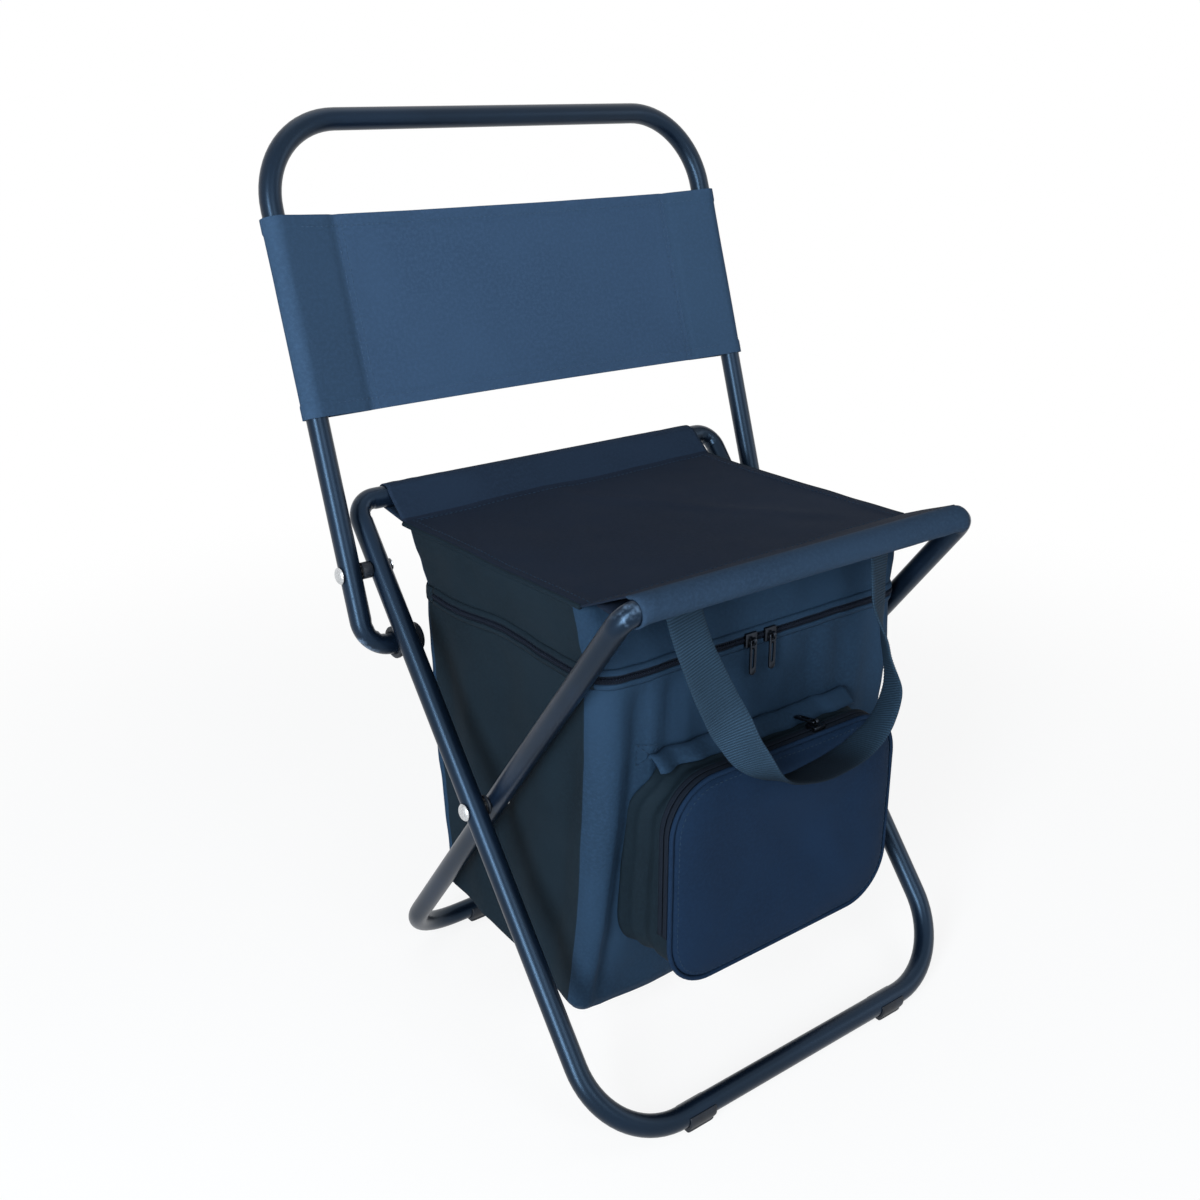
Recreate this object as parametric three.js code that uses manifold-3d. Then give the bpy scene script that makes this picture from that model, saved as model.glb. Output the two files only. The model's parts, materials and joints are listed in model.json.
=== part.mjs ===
// A low folding chair with a cooler bag under its seat: two crossed tube frames, a back frame that folds
// forward, a cloth seat and back, and a zipped insulated bag with a front pocket and a webbing handle.
// Millimetres, +Z up. X runs across the chair and its front is -Y. The origin is on the floor under the
// middle of the chair's box. The drawing's own zero in Y is the scissor pivot, and the last lines shift it.
import * as THREE from "three";
import { mergeVertices } from "three/addons/utils/BufferGeometryUtils.js";
import Module from "manifold-3d";

const wasm = await Module();
wasm.setup();

const degrees = (angle) => THREE.MathUtils.degToRad(angle);

// Clearances, and the fineness of round forms
const fitGap = 0.3; // between pieces that touch
const buttGap = 0.8; // slit where a tube loop's two ends meet, inside a cloth sleeve
const overrun = 5; // how far a cutting tool runs past what it cuts
const weldDistance = 0.001;
const tubeSides = 6; // segments of half a tube's outline
const bendSteps = 6;
const cornerSteps = 5;
const roundSides = 20;
const domeSteps = 4;
const sagSteps = 8;
const strapSteps = 44;

// Tube
const tubeRadius = 7;
const tubeWall = 1;

// Outer leg frame: lengths run along the leg from the scissor pivot to a rail's axis
const outerHalfWidth = 153; // to the side tube's axis
const outerLegDegrees = 51.4; // from the floor
const outerBelowPivot = 219.5;
const outerAbovePivot = 211.5;
const outerGroundBend = 55;
const seatRailBend = 14;

// Inner leg frame
const washerGap = 2; // between the inner and outer side tubes
const innerBelowPivot = 216.5;
const innerGroundBend = 47;

// Back frame
const spacerGap = 7; // between the outer and back side tubes
const backPivotDown = 46.1; // from the rear seat rail down the outer leg
const backLeanDegrees = 18.05; // from upright
const backAbovePivot = 281;
const backTopBend = 54;
const hookBend = 19;
const hookEndInset = 14; // of the tube's end, inside the outer leg's axis

// Rivets, washers and spacers
const rivetRadius = 2.5;
const rivetHole = 0.35; // clearance round the shank
const rivetHeadRadius = 5.6;
const rivetHeadHeight = 2.6;
const rivetTailRadius = 4.2;
const rivetTailHeight = 1.4;
const washerRadius = 6.4;
const spacerRadius = 5.4;

// Hook caps
const capRadius = 10;
const capLength = 19;
const capEnd = 2.4; // closed end's thickness
const capEdge = 1.6; // rounding of the closed end

// Foot clips
const footWall = 2.3;
const footLength = 26;
const footFromLeg = 66.5; // from the side tube's axis to the clip's middle
const footSoleHalfWidth = 5;
const footWrapDegrees = 230; // how far the clip goes round the rail

// Cloth and webbing
const clothWall = 1.2;
const sleeveSlack = 0.35; // between tube and sleeve

// Back panel: heights run along the back frame from its pivot
const panelBottom = 98.5;
const panelTop = 222;
const panelSeamInset = 39; // from the side tube's axis to the sleeve's seam
const panelThickness = 1.8;

// Seat
const seatSideInset = 9; // of the cloth's side edge, inside the inner side tube's axis
const seatSeamReach = 26; // from a rail's axis to its sleeve's seam
const seatSeamDrop = 4.6; // of the seat cloth's top below the lower rail's axis
const seatSag = 8;
const seatThickness = 1.8;

// Bag: depths run forward or rearward of the scissor pivot
const bagSideGap = 6; // to the inner side tube
const bagFloorHeight = 44; // at the front
const bagRearRise = 20; // how much higher the floor lies at the rear
const bagFloorFrontDepth = 60;
const bagFloorRearDepth = 92;
const bagZipFrontDepth = 90;
const bagZipRearDepth = 101;
const bagFloorTuck = 4; // how much narrower each side is at the floor
const bagCorner = 14;
const bagBottomRound = 6;
const bagBottomRoundHeight = 10;
const bagMouthFromFrontRail = 43.8; // from the rail's axis to the band's top edge
const bagMouthFromRearRail = 19.8;
const bandFlare = 3; // of the band's sides at the seat
const bandWall = 3;
const zipBelowSeat = 52.8; // from the seat's seams down to the zip's middle
const linerWall = 4;
const liningGap = 0.6; // between the shell and its liner
const lidWall = 4;
const baseBoardThickness = 3;
const baseBoardMargin = 4;

// How the bag's walls lean between floor and zip: rise, then how far towards the zip's depth
const bagRiseShares = [0.3, 0.6, 1];
const bagLeanShares = [0.42, 0.78, 1];

// Zips
const tapeThickness = 1.2;
const mainTapeWidth = 10;
const coilRadius = 1.6;
const mainZipRearStop = 24; // from the bag's rear to the zip's end
const sliderLength = 9;
const sliderHalfWidth = 4.2;
const sliderRoof = 1.3;
const bailHole = 1.2;
const bailRadius = 2.2;
const bailWidth = 2;
const bailSink = 0.6; // of the bail's ring into the slider's roof
const pullLength = 23;
const pullWidth = 5;
const pullThickness = 1.2;
const pullEyeWidth = 3.2;
const pullEyeLength = 2.7;
const pullSlotLength = 11;
const pullSlotWidth = 1.8;
const pullSlotFromEye = 2.6;
const leftSliderPlace = -13;
const rightSliderPlace = 3;
const pocketSliderPlace = 25;
const pocketPullLength = 18;
const pocketPullTiltDegrees = 9;

// Pocket
const pocketWidth = 185;
const pocketOffset = -2.5; // of its middle
const pocketBottom = 90;
const pocketHeight = 135;
const pocketCorner = 32;
const pocketDepth = 33; // in front of the bag at the pocket's top
const gussetWall = 1.4;
const pocketFaceWall = 1.6;
const pocketCrown = 3.4;
const pocketCrownInset = 30;
const pipingRadius = 1.5;
const pocketTapeWidth = 8;
const pocketTapeFromPiping = 1;
const pocketZipStart = 30; // above the pocket's bottom

// Carry handle: route as shares of its half span, its drop and its reach forward
const strapWidth = 28;
const strapThickness = 1.8;
const strapHalfSpan = 81;
const strapDrop = 122;
const strapTopBelowSeat = 1.2; // from the seat cloth's underside at its front seam
const strapBehindRail = 20.3; // from the front rail's axis to the webbing's sewn ends
const strapFromPocket = 15.5; // from the pocket's crown to the webbing's foremost stretch
const strapRouteShares = [
  [-1, 0, 0],
  [-1, 0.06, 0.02],
  [-0.95, 0.23, 0.14],
  [-0.855, 0.435, 0.33],
  [-0.735, 0.64, 0.55],
  [-0.59, 0.83, 0.77],
  [-0.41, 0.96, 0.93],
  [-0.18, 1, 1],
  [0.135, 1, 1],
  [0.46, 0.965, 0.97],
  [0.73, 0.88, 0.88],
  [0.93, 0.755, 0.7],
  [1.03, 0.57, 0.43],
  [1.04, 0.32, 0.17],
  [1, 0.06, 0.02],
  [1, 0, 0],
];
// Which way the webbing's width points along the route
const strapWidthShares = [
  [1, 0, 0],
  [1, 0, 0],
  [0.68, -0.3, 0.46],
  [0.2, -0.85, 0.45],
  [-0.3, -0.85, 0.4],
  [-0.6, -0.8, 0.15],
  [-1, 0, 0],
];

// Colours
const paint = { color: 0x161c26, roughness: 0.35, metalness: 0.55 };
const brightSteel = { color: 0xb9c0c6, roughness: 0.3, metalness: 1 };
const blackPlastic = { color: 0x121417, roughness: 0.55, metalness: 0 };
const darkMetal = { color: 0x20252d, roughness: 0.4, metalness: 0.8 };
const backCloth = { color: 0x38526f, roughness: 0.85, metalness: 0 };
const seatCloth = { color: 0x1b2130, roughness: 0.9, metalness: 0 };
const bagCloth = { color: 0x20344c, roughness: 0.8, metalness: 0 };
const pocketCloth = { color: 0x1b2f4a, roughness: 0.8, metalness: 0 };
const webbing = { color: 0x3c556c, roughness: 0.9, metalness: 0 };
const foil = { color: 0xb4b8ba, roughness: 0.35, metalness: 0.6 };
const tapeCloth = { color: 0x141a24, roughness: 0.85, metalness: 0 };
const board = { color: 0x2a2c30, roughness: 0.8, metalness: 0 };

// Places that follow from the sizes above
const railHeight = tubeRadius + fitGap + footWall;
const outerAngle = degrees(outerLegDegrees);
const pivotHeight = railHeight + outerBelowPivot * Math.sin(outerAngle);
const innerAngle = Math.asin((pivotHeight - railHeight) / innerBelowPivot);
const innerAbovePivot = (outerAbovePivot * Math.sin(outerAngle)) / Math.sin(innerAngle); // level with the rear rail
const backAngle = Math.PI / 2 - degrees(backLeanDegrees);
const innerHalfWidth = outerHalfWidth - 2 * tubeRadius - washerGap;
const backHalfWidth = outerHalfWidth + 2 * tubeRadius + spacerGap;
const backPivotAlong = outerAbovePivot - backPivotDown;
const hookDrop = (capRadius + tubeRadius + fitGap) / Math.sin(backAngle - outerAngle);

// A point in the side view, in Y and Z
const sidePoint = (y, z) => new THREE.Vector2(y, z);
const rearRail = sidePoint(
  outerAbovePivot * Math.cos(outerAngle),
  pivotHeight + outerAbovePivot * Math.sin(outerAngle),
);
const frontRail = sidePoint(
  -innerAbovePivot * Math.cos(innerAngle),
  pivotHeight + innerAbovePivot * Math.sin(innerAngle),
);
const backPivot = sidePoint(
  backPivotAlong * Math.cos(outerAngle),
  pivotHeight + backPivotAlong * Math.sin(outerAngle),
);

// Solids and booleans
function toSolid(geometry) {
  const plain = geometry.clone();
  plain.deleteAttribute("normal");
  plain.deleteAttribute("uv");
  const merged = mergeVertices(plain, weldDistance);
  const vertProperties = merged.getAttribute("position").array;
  return new wasm.Manifold(
    new wasm.Mesh({ numProp: 3, vertProperties, triVerts: new Uint32Array(merged.index.array) }),
  );
}

function toGeometry(solid) {
  const mesh = solid.getMesh();
  const geometry = new THREE.BufferGeometry();
  geometry.setAttribute("position", new THREE.BufferAttribute(Float32Array.from(mesh.vertProperties), 3));
  geometry.setIndex(new THREE.BufferAttribute(Uint32Array.from(mesh.triVerts), 1));
  geometry.computeVertexNormals();
  return geometry;
}

function cut(geometry, ...tools) {
  return toGeometry(tools.reduce((solid, tool) => solid.subtract(toSolid(tool)), toSolid(geometry)));
}

function join(geometry, ...others) {
  return toGeometry(others.reduce((solid, other) => solid.add(toSolid(other)), toSolid(geometry)));
}

// Closes a stack of rings with equal counts of points into one body, with a flat cap on each end ring,
// or into a closed band when the last ring joins the first.
function skin(rings, asBand = false) {
  const count = rings[0].length;
  const index = [];
  const bands = asBand ? rings.length : rings.length - 1;
  for (let row = 0; row < bands; row++) {
    const low = row * count;
    const high = ((row + 1) % rings.length) * count;
    for (let i = 0; i < count; i++) {
      const next = (i + 1) % count;
      index.push(low + i, low + next, high + next, low + i, high + next, high + i);
    }
  }
  if (!asBand) {
    const last = (rings.length - 1) * count;
    for (let i = 1; i < count - 1; i++) {
      index.push(0, i + 1, i, last, last + i, last + i + 1);
    }
  }
  const geometry = new THREE.BufferGeometry();
  const positions = rings.flat().flatMap((point) => point.toArray());
  geometry.setAttribute("position", new THREE.Float32BufferAttribute(positions, 3));
  geometry.setIndex(index);
  geometry.computeVertexNormals();
  return geometry;
}

// A level ring with round corners, anticlockwise from above
function roundedRing(left, right, front, rear, corner, height) {
  const radius = Math.max(corner, fitGap);
  const centres = [
    [right - radius, rear - radius],
    [left + radius, rear - radius],
    [left + radius, front + radius],
    [right - radius, front + radius],
  ];
  return centres.flatMap(([x, y], quarter) =>
    Array.from({ length: cornerSteps + 1 }, (_, step) => {
      const angle = (quarter + step / cornerSteps) * (Math.PI / 2);
      return new THREE.Vector3(x + radius * Math.cos(angle), y + radius * Math.sin(angle), height);
    }),
  );
}

// Straight runs and round bends in one plane, with stations only at the ends of runs and along the bends.
// A section's X points out of the loop when the path runs clockwise, and its Y is the plane's normal.
class BentPath extends THREE.Curve {
  constructor(corners, bends) {
    super();
    this.stations = [];
    corners.forEach(([x, y], i) => this.addCorner(new THREE.Vector3(x, y, 0), corners[i - 1], corners[i + 1], bends[i]));
  }

  addCorner(corner, before, after, bend) {
    const toward = (pair) => new THREE.Vector3(pair[0], pair[1], 0);
    const into = before && corner.clone().sub(toward(before)).normalize();
    const out = after && toward(after).sub(corner).normalize();
    if (!into || !out) {
      this.stations.push({ point: corner, tangent: into || out });
      return;
    }
    const turn = into.angleTo(out);
    const side = out.clone().addScaledVector(into, -into.dot(out)).normalize();
    const start = corner.clone().addScaledVector(into, -bend * Math.tan(turn / 2));
    for (let step = 0; step <= bendSteps; step++) {
      const angle = (turn * step) / bendSteps;
      const point = start.clone().addScaledVector(into, bend * Math.sin(angle));
      point.addScaledVector(side, bend * (1 - Math.cos(angle)));
      const tangent = into.clone().multiplyScalar(Math.cos(angle)).addScaledVector(side, Math.sin(angle));
      this.stations.push({ point, tangent });
    }
  }

  getPoint(share) {
    return this.stations[Math.round(share * (this.stations.length - 1))].point.clone();
  }

  getPointAt(share) {
    return this.getPoint(share);
  }

  computeFrenetFrames() {
    const up = new THREE.Vector3(0, 0, 1);
    const tangents = this.stations.map((station) => station.tangent);
    return {
      tangents,
      binormals: tangents.map(() => up),
      normals: tangents.map((tangent) => up.clone().cross(tangent)),
    };
  }
}

function sweep(section, path, sides) {
  const steps = path.stations.length - 1;
  return new THREE.ExtrudeGeometry(section, { steps, extrudePath: path, curveSegments: sides });
}

function circle(radius, holeRadius = 0) {
  const shape = new THREE.Shape().absarc(0, 0, radius, 0, 2 * Math.PI, false);
  if (holeRadius) {
    shape.holes.push(new THREE.Path().absarc(0, 0, holeRadius, 0, 2 * Math.PI, true));
  }
  return shape;
}

// A side-view outline in Y and Z, extruded across the chair
function acrossChair(outline, fromX, toX) {
  const geometry = new THREE.ExtrudeGeometry(outline, {
    depth: toX - fromX,
    bevelEnabled: false,
    curveSegments: roundSides / 2,
  });
  const yAxis = new THREE.Vector3(0, 1, 0);
  const zAxis = new THREE.Vector3(0, 0, 1);
  const xAxis = new THREE.Vector3(1, 0, 0);
  geometry.applyMatrix4(new THREE.Matrix4().makeBasis(yAxis, zAxis, xAxis));
  return geometry.translate(fromX, 0, 0);
}

const chair = new THREE.Group();

function addPiece(name, geometry, finish, parent = chair) {
  const mesh = new THREE.Mesh(geometry, new THREE.MeshStandardMaterial(finish));
  mesh.name = name;
  parent.add(mesh);
  return mesh;
}

// A frame is drawn flat, with Y along its legs, and turned up about its pivot.
function framePlane(y, z, angle) {
  const plane = new THREE.Group();
  plane.position.set(0, y, z);
  plane.rotation.x = angle;
  chair.add(plane);
  return plane;
}

const outerPlane = framePlane(0, pivotHeight, outerAngle);
const innerPlane = framePlane(0, pivotHeight, Math.PI - innerAngle);
const backPlane = framePlane(backPivot.x, backPivot.y, backAngle);

// Drill through both side tubes, at a place along them
function sideDrill(along) {
  const length = 2 * (backHalfWidth + tubeRadius + overrun);
  const drill = new THREE.CylinderGeometry(rivetRadius + rivetHole, rivetRadius + rivetHole, length, roundSides / 2);
  return drill.rotateZ(Math.PI / 2).translate(0, along, 0);
}

// A closed loop of tube that starts and ends in the middle of its seat rail
function legLoop(halfWidth, below, above, groundBend, wall = tubeWall, radius = tubeRadius) {
  const corners = [
    [buttGap / 2, above],
    [halfWidth, above],
    [halfWidth, -below],
    [-halfWidth, -below],
    [-halfWidth, above],
    [-buttGap / 2, above],
  ];
  const bends = [0, seatRailBend, groundBend, groundBend, seatRailBend, 0];
  return sweep(circle(radius, radius - wall), new BentPath(corners, bends), tubeSides);
}

addPiece(
  "outer_leg_frame",
  cut(
    legLoop(outerHalfWidth, outerBelowPivot, outerAbovePivot, outerGroundBend),
    sideDrill(0),
    sideDrill(backPivotAlong),
  ),
  paint,
  outerPlane,
);
addPiece(
  "inner_leg_frame",
  cut(legLoop(innerHalfWidth, innerBelowPivot, innerAbovePivot, innerGroundBend), sideDrill(0)),
  paint,
  innerPlane,
);

// The back frame is an open tube: its two lower ends hook inwards behind the outer legs.
const hookEnd = outerHalfWidth - hookEndInset;

function backFrame() {
  const corners = [
    [-hookEnd, -hookDrop],
    [-backHalfWidth, -hookDrop],
    [-backHalfWidth, backAbovePivot],
    [backHalfWidth, backAbovePivot],
    [backHalfWidth, -hookDrop],
    [hookEnd, -hookDrop],
  ];
  const bends = [0, hookBend, backTopBend, backTopBend, hookBend, 0];
  const tube = sweep(circle(tubeRadius, tubeRadius - tubeWall), new BentPath(corners, bends), tubeSides);
  return cut(tube, sideDrill(0));
}
addPiece("back_frame", backFrame(), paint, backPlane);

// Turned pieces are drawn as radius and distance from the chair's middle plane, and laid along X.
function turned(outline, side) {
  const points = outline.map(([radius, along]) => new THREE.Vector2(radius, along));
  return new THREE.LatheGeometry(points, roundSides).rotateZ((-side * Math.PI) / 2);
}

function rivet(side, tailTop, headBase) {
  const dome = Array.from({ length: domeSteps }, (_, step) => {
    const angle = ((step + 1) / domeSteps) * (Math.PI / 2);
    return [rivetHeadRadius * Math.cos(angle), headBase + rivetHeadHeight * Math.sin(angle)];
  });
  const outline = [
    [0, tailTop - rivetTailHeight],
    [rivetTailRadius, tailTop - rivetTailHeight],
    [rivetTailRadius, tailTop],
    [rivetRadius, tailTop],
    [rivetRadius, headBase],
    [rivetHeadRadius, headBase],
    ...dome,
  ];
  return turned(outline, side);
}

function ring(side, outerRadius, from, to) {
  const holeRadius = rivetRadius + rivetHole;
  const outline = [
    [holeRadius, from],
    [outerRadius, from],
    [outerRadius, to],
    [holeRadius, to],
    [holeRadius, from],
  ];
  return turned(outline, side);
}

function hookCap(side) {
  const closedFace = hookEnd - fitGap - capEnd;
  const mouth = closedFace + capLength;
  const boreRadius = tubeRadius + fitGap;
  const outline = [
    [0, closedFace],
    [capRadius - capEdge, closedFace],
    [capRadius, closedFace + capEdge],
    [capRadius, mouth],
    [boreRadius, mouth],
    [boreRadius, hookEnd - fitGap],
    [0, hookEnd - fitGap],
  ];
  return turned(outline, side);
}

for (const [name, side] of [["left", -1], ["right", 1]]) {
  const innerFace = innerHalfWidth - tubeRadius;
  const outerFace = outerHalfWidth + tubeRadius;
  const betweenLegs = innerHalfWidth + tubeRadius;
  const scissorRivet = rivet(side, innerFace - fitGap, outerFace + fitGap);
  addPiece(`scissor_rivet_${name}`, scissorRivet, brightSteel, outerPlane);
  const washer = ring(side, washerRadius, betweenLegs + fitGap, betweenLegs + washerGap - fitGap);
  addPiece(`scissor_washer_${name}`, washer, blackPlastic, outerPlane);
  const backFace = backHalfWidth + tubeRadius;
  const backRivet = rivet(side, outerHalfWidth - tubeRadius - fitGap, backFace + fitGap);
  addPiece(`back_rivet_${name}`, backRivet, brightSteel, outerPlane).position.y = backPivotAlong;
  const spacer = ring(side, spacerRadius, outerFace + fitGap, outerFace + spacerGap - fitGap);
  addPiece(`back_spacer_${name}`, spacer, blackPlastic, outerPlane).position.y = backPivotAlong;
  addPiece(`hook_cap_${name}`, hookCap(side), blackPlastic, backPlane).position.y = -hookDrop;
}

// Foot clips snap over the ground rails from below and stand on a flat sole.
function footClip() {
  const outside = tubeRadius + fitGap + footWall;
  const bore = tubeRadius + fitGap;
  const halfWrap = degrees(footWrapDegrees / 2);
  const straightDown = -Math.PI / 2;
  const soleAngle = Math.asin(footSoleHalfWidth / outside);
  const outline = new THREE.Shape();
  outline.absarc(0, 0, outside, straightDown - halfWrap, straightDown - soleAngle, false);
  outline.lineTo(-footSoleHalfWidth, -outside);
  outline.lineTo(footSoleHalfWidth, -outside);
  outline.absarc(0, 0, outside, straightDown + soleAngle, straightDown + halfWrap, false);
  outline.absarc(0, 0, bore, straightDown + halfWrap, straightDown - halfWrap, true);
  return acrossChair(outline, -footLength / 2, footLength / 2);
}

const groundRails = [
  ["front", -outerBelowPivot * Math.cos(outerAngle), outerHalfWidth],
  ["rear", innerBelowPivot * Math.cos(innerAngle), innerHalfWidth],
];
for (const [end, railPlace, halfWidth] of groundRails) {
  for (const [name, side] of [["left", -1], ["right", 1]]) {
    const foot = addPiece(`foot_${end}_${name}`, footClip(), blackPlastic);
    foot.position.set(side * (halfWidth - footFromLeg), railPlace, railHeight);
  }
}

// A cloth sleeve in section: from a seam, round a tube and back to the seam.
const sleeveInside = tubeRadius + sleeveSlack;
const sleeveOutside = sleeveInside + clothWall;

function tangentAngles(centre, radius, from) {
  const reach = from.clone().sub(centre);
  const spread = Math.acos(radius / reach.length());
  return [reach.angle() + spread, reach.angle() - spread];
}

function sleeveArc(path, centre, radius, from) {
  const [start, end] = tangentAngles(centre, radius, from);
  path.absarc(centre.x, centre.y, radius, start, end + 2 * Math.PI, false);
}

// The channel inside a sleeve, as a hole in the cloth's section
function sleeveChannel(centre, seam) {
  const inside = centre.clone().sub(seam);
  const tip = seam.clone().addScaledVector(inside.normalize(), clothWall);
  const hole = new THREE.Path();
  sleeveArc(hole, centre, sleeveInside, tip);
  hole.lineTo(tip.x, tip.y);
  return hole;
}

// Cloth between two sleeves, in section: left and right tubes, their seams, and the points of the upper
// side between the seams, from left to right.
function clothSection(left, right, leftSeam, rightSeam, upper, thickness) {
  const outline = new THREE.Shape();
  const below = upper.map((point) => sidePoint(point.x, point.y - thickness));
  sleeveArc(outline, left, sleeveOutside, leftSeam);
  below.forEach((point) => outline.lineTo(point.x, point.y));
  const [start, end] = tangentAngles(right, sleeveOutside, rightSeam);
  outline.absarc(right.x, right.y, sleeveOutside, start - 2 * Math.PI, end, false);
  upper.toReversed().forEach((point) => outline.lineTo(point.x, point.y));
  outline.holes.push(sleeveChannel(left, leftSeam), sleeveChannel(right, rightSeam));
  return outline;
}

// The back panel's section lies across the back frame, with its seams in the frame's own plane.
function backPanel() {
  const seam = backHalfWidth - panelSeamInset;
  const upper = [sidePoint(-seam, panelThickness / 2), sidePoint(seam, panelThickness / 2)];
  const outline = clothSection(
    sidePoint(-backHalfWidth, 0),
    sidePoint(backHalfWidth, 0),
    sidePoint(-seam, 0),
    sidePoint(seam, 0),
    upper,
    panelThickness,
  );
  const depth = panelTop - panelBottom;
  const geometry = new THREE.ExtrudeGeometry(outline, {
    depth,
    bevelEnabled: false,
    curveSegments: roundSides / 2,
  });
  return geometry.rotateX(Math.PI / 2).translate(0, panelTop, 0);
}
addPiece("back_panel", backPanel(), backCloth, backPlane);

// The seat cloth runs between the rails, a little below them, and sags.
const seatHalfWidth = innerHalfWidth - seatSideInset;
const seatHeight = Math.min(rearRail.y, frontRail.y) - seatSeamDrop;
const zipHeight = seatHeight - zipBelowSeat;
const frontSeam = sidePoint(frontRail.x + seatSeamReach, seatHeight);
const rearSeam = sidePoint(rearRail.x - seatSeamReach, seatHeight);

function seatTop(y) {
  const middle = (frontSeam.x + rearSeam.x) / 2;
  const half = (rearSeam.x - frontSeam.x) / 2;
  return seatHeight - seatSag * (1 - ((y - middle) / half) ** 2);
}

// Points of the seat's upper side from front to rear, moved up by an offset
function seatCurve(from, to, offset) {
  return Array.from({ length: sagSteps + 1 }, (_, step) => {
    const y = THREE.MathUtils.lerp(from, to, step / sagSteps);
    return sidePoint(y, seatTop(y) + offset);
  });
}

const middleOfCloth = (seam) => sidePoint(seam.x, seam.y - seatThickness / 2);

function seatPanel() {
  const upper = seatCurve(frontSeam.x, rearSeam.x, 0);
  const outline = clothSection(
    frontRail,
    rearRail,
    middleOfCloth(frontSeam),
    middleOfCloth(rearSeam),
    upper,
    seatThickness,
  );
  const cloth = acrossChair(outline, -seatHalfWidth, seatHalfWidth);
  // The inner frame's bends begin inside the front sleeve, which makes room for them.
  const roomForBends = legLoop(
    innerHalfWidth,
    innerBelowPivot,
    innerAbovePivot,
    innerGroundBend,
    tubeRadius - fitGap,
    tubeRadius + fitGap,
  );
  roomForBends.rotateX(Math.PI - innerAngle).translate(0, 0, pivotHeight);
  return cut(cloth, roomForBends);
}
addPiece("seat_panel", seatPanel(), seatCloth);

// Everything above the underside of the seat cloth and its sleeves, as a tool that trims the bag's top
function aboveSeatTool() {
  const radius = sleeveOutside + fitGap;
  const top = Math.max(rearRail.y, frontRail.y) + radius + overrun;
  const [, frontTangent] = tangentAngles(frontRail, radius, middleOfCloth(frontSeam));
  const [rearTangent] = tangentAngles(rearRail, radius, middleOfCloth(rearSeam));
  const outline = new THREE.Shape();
  outline.absarc(frontRail.x, frontRail.y, radius, Math.PI, frontTangent, false);
  const underside = seatCurve(frontSeam.x, rearSeam.x, -seatThickness - fitGap);
  underside.forEach((point) => outline.lineTo(point.x, point.y));
  outline.absarc(rearRail.x, rearRail.y, radius, rearTangent, 2 * Math.PI, false);
  outline.lineTo(rearRail.x + radius, top);
  outline.lineTo(frontRail.x - radius, top);
  return acrossChair(outline, -outerHalfWidth, outerHalfWidth);
}

// The bag's outline at each height
const bagHalfWidth = innerHalfWidth - tubeRadius - bagSideGap;
const bagBreaks = [
  { height: bagFloorHeight, lean: 0, inset: bagBottomRound },
  { height: bagFloorHeight + bagBottomRoundHeight, lean: 0, inset: 0 },
  ...bagRiseShares.map((rise, i) => ({
    height: bagFloorHeight + rise * (zipHeight - bagFloorHeight),
    lean: bagLeanShares[i],
    inset: 0,
  })),
];

function bagAt(height) {
  const next = Math.max(1, bagBreaks.findIndex((entry) => entry.height >= height));
  const [low, high] = [bagBreaks[next - 1], bagBreaks[next]];
  const share = (height - low.height) / (high.height - low.height);
  const lean = THREE.MathUtils.lerp(low.lean, high.lean, share);
  const inset = THREE.MathUtils.lerp(low.inset, high.inset, share);
  return {
    half: bagHalfWidth - bagFloorTuck * (1 - lean) - inset,
    front: -THREE.MathUtils.lerp(bagFloorFrontDepth, bagZipFrontDepth, lean) + inset,
    rear: THREE.MathUtils.lerp(bagFloorRearDepth, bagZipRearDepth, lean) - inset,
  };
}

const shellTop = zipHeight - mainTapeWidth / 2 - fitGap;

// The floor slopes up to the rear, and the rings level out towards the zip.
function bagRing(height, inset) {
  const { half, front, rear } = bagAt(height);
  const slope = (shellTop - height) / (shellTop - bagFloorHeight);
  const points = roundedRing(-half + inset, half - inset, front + inset, rear - inset, bagCorner - inset, height);
  for (const point of points) {
    point.z += (bagRearRise * slope * (point.y - front)) / (rear - front);
  }
  return points;
}

// A shell with an open top: rings up the outside, then down the inside to the floor
function openShell(inset, wall, top) {
  const heights = (floor) => [floor, ...bagBreaks.slice(1).map((entry) => entry.height).filter((h) => h < top), top];
  const outside = heights(bagFloorHeight + inset).map((height) => bagRing(height, inset));
  const inside = heights(bagFloorHeight + inset + wall).map((height) => bagRing(height, inset + wall));
  return skin([...outside, ...inside.toReversed()]);
}

const linerInset = clothWall + liningGap;
addPiece("bag_shell", openShell(0, clothWall, shellTop), bagCloth);
addPiece("bag_liner", openShell(linerInset, linerWall, shellTop), foil);

function baseBoard() {
  const inset = linerInset + linerWall + baseBoardMargin;
  const low = bagFloorHeight + linerInset + linerWall + fitGap;
  return skin([bagRing(low, inset), bagRing(low + baseBoardThickness, inset)]);
}
addPiece("base_board", baseBoard(), board);

// The band above the zip flares out to the seat's edges and is trimmed by the seat cloth.
const bandTopHeight = seatHeight + seatSag + overrun;

function bandRing(height, inset) {
  const share = (height - zipHeight) / (seatHeight - zipHeight);
  const half = bagHalfWidth + bandFlare * share;
  const front = THREE.MathUtils.lerp(-bagZipFrontDepth, frontRail.x + bagMouthFromFrontRail, share);
  const rear = THREE.MathUtils.lerp(bagZipRearDepth, rearRail.x - bagMouthFromRearRail, share);
  return roundedRing(-half + inset, half - inset, front + inset, rear - inset, bagCorner - inset, height);
}

function topBand() {
  const low = zipHeight + mainTapeWidth / 2 + fitGap;
  const rings = [
    bandRing(low, 0),
    bandRing(bandTopHeight, 0),
    bandRing(bandTopHeight, bandWall),
    bandRing(low, bandWall),
  ];
  return cut(skin(rings, true), aboveSeatTool());
}
addPiece("bag_top_band", topBand(), bagCloth);

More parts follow.
